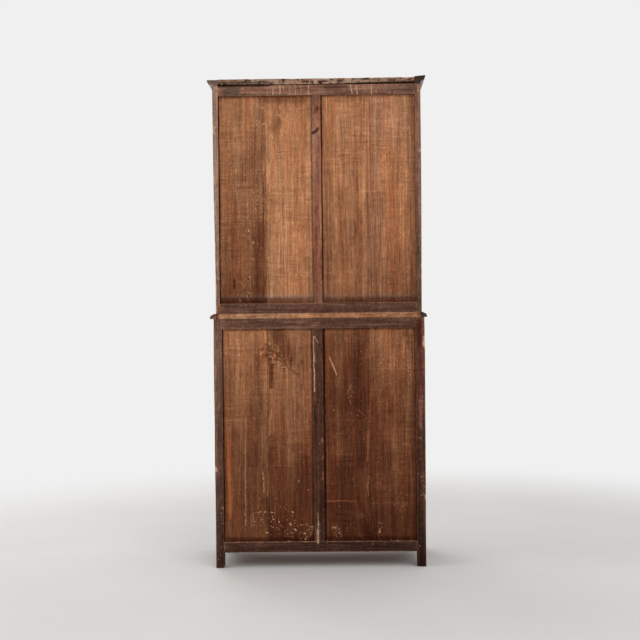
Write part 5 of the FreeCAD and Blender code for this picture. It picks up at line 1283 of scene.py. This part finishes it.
def arc(start, middle, end, steps=8):
    """Points on the circle through three points, from the first to the last, the first left out."""
    (ax, ay), (bx, by), (cx, cy) = start, middle, end
    d = 2 * (ax * (by - cy) + bx * (cy - ay) + cx * (ay - by))
    squares = [px * px + py * py for px, py in (start, middle, end)]
    ux = (squares[0] * (by - cy) + squares[1] * (cy - ay) + squares[2] * (ay - by)) / d
    uy = (squares[0] * (cx - bx) + squares[1] * (ax - cx) + squares[2] * (bx - ax)) / d
    first, last = math.atan2(ay - uy, ax - ux), math.atan2(cy - uy, cx - ux)
    turn = (last - first + math.pi) % (2 * math.pi) - math.pi
    radius = math.hypot(ax - ux, ay - uy)
    angles = first + turn * np.linspace(0, 1, steps + 1)[1:]
    return [(ux + radius * math.cos(a), uy + radius * math.sin(a)) for a in angles]


def finely(section, spacing):
    """A section's outline with points added along its long straight sides."""
    points = []
    for a, b in zip(section, section[1:] + section[:1]):
        steps = max(1, int(math.dist(a, b) / spacing))
        points += [(a[0] + (b[0] - a[0]) * k / steps, a[1] + (b[1] - a[1]) * k / steps)
                   for k in range(steps)]
    return np.array(points)


class CUPBOARD_OT_mouldings(bpy.types.Operator):
    """Builds the waist moulding and the cornice, mitred round three sides"""

    bl_idname = "cupboard.mouldings"
    bl_label = "Waist moulding and cornice"

    def execute(self, context):
        self.waist()
        self.cornice()
        return {"FINISHED"}

    def waist(self):
        """The waist moulding: a flat face, a quarter round above it, and a small square step."""
        base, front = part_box("base_post_rear_right")[1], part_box("base_post_front_left")[0].y
        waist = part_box("waist_moulding")
        low, top = waist[0].z, waist[1].z
        nose, seat, fillet, step = 14 * MM, 12 * MM, 4 * MM, 1 * MM
        head = top - fillet
        bend = nose * math.sqrt(0.5)
        section = [(-seat, low), (nose, low), (nose, head - nose)]
        section += arc((nose, head - nose), (bend, head - nose + bend), (0.0, head))
        section += [(-step, head), (-step, top), (-seat, top)]
        self.run_round("waist_moulding", section, base.x, front, base.y, 0.0, (0.3, 0.22, 0.26))

    def cornice(self):
        """The cornice: a small foot below, two arcs that make an S, and a flat cap up to the top board."""
        upper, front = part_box("upper_stile_rear_right")[1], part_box("upper_post_front_left")[0].y
        top_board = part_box("upper_top")[1].z
        low, tip, lap, seat = upper.z, 26 * MM, 8 * MM, 21 * MM
        toe, lip, cap = 5 * MM, 2 * MM, 7 * MM
        foot, crown = (toe, low - 0.4 * lap), (tip - lip, top_board - cap)
        middle = ((foot[0] + crown[0]) / 2, (foot[1] + crown[1]) / 2)
        run, rise, bulge = crown[0] - foot[0], crown[1] - foot[1], 0.09
        first = (foot[0] + run / 4 - rise * bulge, foot[1] + rise / 4 + run * bulge)
        second = (foot[0] + run * 0.75 + rise * bulge, foot[1] + rise * 0.75 - run * bulge)
        section = [(-seat, low), (0.0, low), (0.0, low - lap), (toe, low - lap), foot]
        section += arc(foot, first, middle) + arc(middle, second, crown)
        section += [(tip, crown[1]), (tip, top_board), (-seat, top_board)]
        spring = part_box("cornice")[1].z - top_board
        self.run_round("cornice", section, upper.x, front, upper.y, spring, (0.36, 0.3, 0.34))

    def run_round(self, node, section, half_width, front, back, spring, tones):
        """Three mitred lengths with one section, carried along the left, the front and the right.

        A point of the section stands out from the case by its first number, and its run ends where the
        mitre plane cuts it, so each station is between the two ends by the same share. The edges go in a
        little by noise. Towards the back the left length rises by spring, and the outer and upper part of
        the right one sinks by 0.7 of it. tones are those of the left, the front and the right length.
        """
        wear = bpy.context.scene.cupboard_wear
        points = finely(section, spacing=5 * MM)
        out, up = points[:, 0][None, :], points[:, 1][None, :]
        boards = Boards()
        inner = out.min()
        for number, side in enumerate(("left", "front", "right")):
            seed = seed_of(node) + 60 * number
            span = 2 * half_width if side == "front" else back - front
            share = np.linspace(0, 1, int(span / (1.6 * wear.section)))[:, None]
            rub = wear.wave * 1.5 * ripple(share * span / 0.06, up / 0.02 + out / 0.02, seed)
            rub = rub + wear.chip * eased(ripple(share * span / 0.015, up / 0.01, seed + 4), 0.74, 0.92)
            moved = np.where(out > inner + 1 * MM, np.maximum(out - rub, inner), out)
            if side == "front":
                x = -(half_width + out) + share * 2 * (half_width + out)
                y = front - moved
                z = up + 0 * share
                along = x
            else:
                sign = 1 if side == "right" else -1
                y = back + share * (front - out - back)
                x = sign * (half_width + moved)
                reach = np.clip((out - inner) / np.ptp(out), 0, 1)
                sag = np.maximum(eased(out, 0, 5 * MM), eased(up, up.max() - 8 * MM, up.max() - 2 * MM))
                lift = spring * (0.3 + 0.7 * reach) if side == "left" else -0.7 * spring * sag
                z = up + lift * (1 - share)
                along = y - y.mean()
            local = np.stack(np.broadcast_arrays(along, up - up.mean(), out - out.mean() + 0 * along), -1)
            sections = np.stack(np.broadcast_arrays(x, y, z), -1)
            finish = (out > inner + 2 * MM) & (up < up.max() - 0.1 * MM) & (share > 0.0)
            upward = up > up.max() - 0.5 * MM
            full = np.ones_like(sections[..., 0])
            end_grain = eased(share * span, 7 * MM, 1 * MM) * (side != "front") * full
            end_tone = 0.2 + 0.5 * ripple(out / 0.005, up / 0.007, seed + 8) if side == "right" else 0.06
            tone = tones[number] * (1 - end_grain) + end_tone * end_grain
            grey = np.maximum(0.5 * upward, 0.7 * end_grain)
            boards.add(sections, local, np.ptp(local.reshape(-1, 3), axis=0) / 2, seed, tone=tone, grey=grey,
                       finish=finish * full, pale=0.55 * eased(rub, wear.wave * 1.8, wear.chip))
        place("worn_" + node, boards.mesh("worn_" + node), node, "moulding_wood", "moulding_wood")


class CUPBOARD_OT_case_boards(bpy.types.Operator):
    """Gives the posts, rails, side panels and apron their grain and finish"""

    bl_idname = "cupboard.case_boards"
    bl_label = "Case boards"

    def execute(self, context):
        for node in ("base_post_front_left", "base_post_front_right", "upper_post_front_left",
                     "upper_post_front_right", "base_side_rails", "upper_side_rails", "base_apron",
                     "base_front_rail", "upper_front_rails"):
            dress(node, "case_wood", 0.38)
        for node in ("base_side_panels", "upper_side_panels"):
            dress(node, "case_wood", 0.46, material="door_panel")
        return {"FINISHED"}


class CUPBOARD_OT_inside_boards(bpy.types.Operator):
    """Gives the floors, shelves, cleats and dowels their bare wood"""

    bl_idname = "cupboard.inside_boards"
    bl_label = "Inside boards"

    def execute(self, context):
        for node, tone in (("base_floor", 0.42), ("base_shelf", 0.46), ("base_cleats", 0.4),
                           ("upper_floor", 0.44), ("upper_shelves", 0.48), ("upper_cleats", 0.02),
                           ("locating_dowels", 0.5)):
            # The upper cleats are given a near-black tone and the back frame's darker colours: painted shade
            # for the dark inside of the upper case where they show.
            material = "back_frame" if node == "upper_cleats" else "raw_wood"
            dress(node, "raw_wood", tone, 0.25 * tone, material)
        return {"FINISHED"}


class CUPBOARD_OT_pegs(bpy.types.Operator):
    """Gives the pegs that pin the joints their wood"""

    bl_idname = "cupboard.pegs"
    bl_label = "Pegs"

    def execute(self, context):
        for node in ("base_pegs", "upper_pegs"):
            dress(node, "peg_wood", 0.2, 0.08)
        return {"FINISHED"}


class CUPBOARD_OT_doors(bpy.types.Operator):
    """Gives the four doors' frames and fielded panels their grain and finish"""

    bl_idname = "cupboard.doors"
    bl_label = "Doors"

    def execute(self, context):
        for case in ("base", "upper"):
            for side in ("left", "right"):
                dress(f"{case}_door_{side}_frame", "door_frame", 0.36)
                dress(f"{case}_door_{side}_panels", "door_panel", 0.5, 0.1)
        return {"FINISHED"}


class CUPBOARD_OT_ironwork(bpy.types.Operator):
    """Gives the hinges, locks, keys and bolts their metal"""

    bl_idname = "cupboard.ironwork"
    bl_label = "Ironwork"

    def execute(self, context):
        iron = ("{}_case_hinge_halves", "{}_door_left_ironwork", "{}_door_right_hinge_leaves", "{}_lock_bolt",
                "{}_key", "{}_slide_bolt")
        for case in ("base", "upper"):
            for pattern in iron:
                self.finish(pattern.format(case), "iron", "iron")
            self.finish(case + "_lock_and_escutcheon", case + "_lock", "lock_iron")
        return {"FINISHED"}

    def finish(self, node, material, slot):
        """Sets one node's metal, and softens its edges."""
        piece = frame["nodes"][node]
        piece.data.materials.clear()
        piece.data.materials.append(bpy.data.materials["aged_" + material])
        weld = piece.modifiers.new("joined_faces", "WELD")
        weld.merge_threshold = JOIN_WITHIN
        add_bevel(piece, IRON_BEVEL)


# The soft lamps, each with its place, its size and its power, and what they all point at
LAMPS = (("soft_lamp_back", (-1.6, 4.2, 3.4), 3.4, 62), ("soft_lamp_front", (2.2, -4.4, 3.2), 3.4, 70),
         ("soft_lamp_side", (4.6, 0.6, 2.8), 2.6, 30))
LAMP_AIM = (0.0, 0.0, 1.05)
# The floor's disc: how far it reaches, its rings of points, the points in a ring and how far it lies lower
FLOOR_REACH, FLOOR_RINGS, FLOOR_AROUND, FLOOR_DROP = 4.0, 6, 48, 0.5 * MM


class CUPBOARD_OT_stage(bpy.types.Operator):
    """Sets the pale floor, the soft lamps and the camera"""

    bl_idname = "cupboard.stage"
    bl_label = "Stage"

    def execute(self, context):
        scene, view, colours = context.scene, context.scene.cupboard_view, context.scene.cupboard_colours
        scene.view_settings.view_transform = "Standard"
        self.floor(colours)
        self.room(scene, view, colours)
        for name, stand, size, power in LAMPS:
            light = bpy.data.lights.new(name, "AREA")
            light.shape, light.size, light.energy = "DISK", size, power * view.lamp
            lamp = bpy.data.objects.new(name, light)
            lamp.location = stand
            lamp.rotation_euler = (Vector(LAMP_AIM) - Vector(stand)).to_track_quat("-Z", "Y").to_euler()
            scene.collection.objects.link(lamp)
        self.camera(scene, view)
        return {"FINISHED"}

    def floor(self, colours):
        """A flat disc just under the feet: rings of points round its middle at growing radii. It fades
        into the backdrop away from the cupboard."""
        radii = np.linspace(0.01, FLOOR_REACH, FLOOR_RINGS)[:, None]
        turn = np.linspace(0, 2 * np.pi, FLOOR_AROUND, endpoint=False)
        level = np.full((FLOOR_RINGS, FLOOR_AROUND), -FLOOR_DROP)
        points = np.stack([radii * np.cos(turn), radii * np.sin(turn), level], -1).reshape(-1, 3)
        ring, quads = ring_quads(FLOOR_RINGS, FLOOR_AROUND)
        upwards = quads[:, [0, 3, 2, 1]]
        mesh = mesh_of("floor", points, [upwards, ring[None, :]])
        material, g, shader = new_material("floor")
        place = g.node("ShaderNodeTexCoord").outputs["Object"]
        cloud = g.noise(place, (1.3, 1.3, 1.3), 4.0)
        paler = g.mix(0.18, colours.floor, (1.0, 1.0, 1.0))
        g.feed(shader["Base Color"], g.mix(g.step(cloud, 0.2, 0.8), colours.floor, paler))
        shader["Roughness"].default_value = 0.8
        reach = g.node("ShaderNodeVectorMath", {0: place}, operation="LENGTH").outputs["Value"]
        faded, solid = 3.6, 1.7
        g.feed(shader["Alpha"], g.step(reach, faded, solid))
        mesh.materials.append(material)
        floor = bpy.data.objects.new("floor", mesh)
        bpy.context.scene.collection.objects.link(floor)

    def room(self, scene, view, colours):
        """An even pale light, and a paler backdrop where the camera or a reflection sees it."""
        world = bpy.data.worlds.new("room")
        scene.world = world
        world.use_nodes = True
        g = Graph(world.node_tree)
        background = next(n for n in world.node_tree.nodes if n.type == "BACKGROUND")
        path = g.node("ShaderNodeLightPath").outputs
        seen = g.math("MAXIMUM", path["Is Camera Ray"], path["Is Glossy Ray"])
        g.feed(background.inputs["Color"], g.mix(seen, (1.0, 1.0, 1.0), colours.backdrop))
        strength = g.add(view.room, g.times(seen, 1.0 - view.room))
        g.feed(background.inputs["Strength"], strength)

    def camera(self, scene, view):
        """Behind the cupboard, looking along -Y, turned by yaw and pitch and then rolled."""
        data = bpy.data.cameras.new("camera")
        data.lens, data.sensor_width = view.lens, 36.0
        data.clip_end = 100.0
        camera = bpy.data.objects.new("camera", data)
        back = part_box("base_back_rail_top")[1].y
        camera.location = (view.sideways, back + view.distance, view.height)
        level = math.cos(view.pitch)
        ahead = Vector((math.sin(view.yaw) * level, -math.cos(view.yaw) * level, math.sin(view.pitch)))
        camera.rotation_mode = "QUATERNION"
        camera.rotation_quaternion = ahead.to_track_quat("-Z", "Y") @ Quaternion((0, 0, 1), view.roll)
        scene.collection.objects.link(camera)
        scene.camera = camera


# The sidebar panel and the add-on's registration

BUILD_ORDER = (CUPBOARD_OT_finishes, CUPBOARD_OT_base_back_frame, CUPBOARD_OT_upper_back_frame,
               CUPBOARD_OT_base_back_panels, CUPBOARD_OT_upper_back_panels, CUPBOARD_OT_top_boards,
               CUPBOARD_OT_mouldings, CUPBOARD_OT_case_boards, CUPBOARD_OT_inside_boards, CUPBOARD_OT_pegs,
               CUPBOARD_OT_doors, CUPBOARD_OT_ironwork, CUPBOARD_OT_stage)
GROUPS = (("cupboard_wear", CupboardWear), ("cupboard_colours", CupboardColours),
          ("cupboard_view", CupboardView))


class CUPBOARD_PT_sidebar(bpy.types.Panel):
    """The cupboard's pieces and values, in the sidebar"""

    bl_idname = "CUPBOARD_PT_sidebar"
    bl_label = "Cupboard"
    bl_space_type = "VIEW_3D"
    bl_region_type = "UI"
    bl_category = "Cupboard"

    def draw(self, context):
        for step in BUILD_ORDER:
            self.layout.operator(step.bl_idname)
        for name, group in GROUPS:
            box = self.layout.box()
            for key in group.__annotations__:
                box.prop(getattr(context.scene, name), key)


def register():
    """Registers the property groups, the operators and the panel."""
    for name, group in GROUPS:
        bpy.utils.register_class(group)
        setattr(bpy.types.Scene, name, PointerProperty(type=group))
    for step in BUILD_ORDER + (CUPBOARD_PT_sidebar,):
        bpy.utils.register_class(step)


def unregister():
    """Takes everything back out, the last first."""
    for step in reversed(BUILD_ORDER + (CUPBOARD_PT_sidebar,)):
        bpy.utils.unregister_class(step)
    for name, group in reversed(GROUPS):
        delattr(bpy.types.Scene, name)
        bpy.utils.unregister_class(group)


def main():
    """Builds every piece in order."""
    register()
    for step in BUILD_ORDER:
        group, name = step.bl_idname.split(".")
        getattr(getattr(bpy.ops, group), name)()


if __name__ == "__main__":
    main()
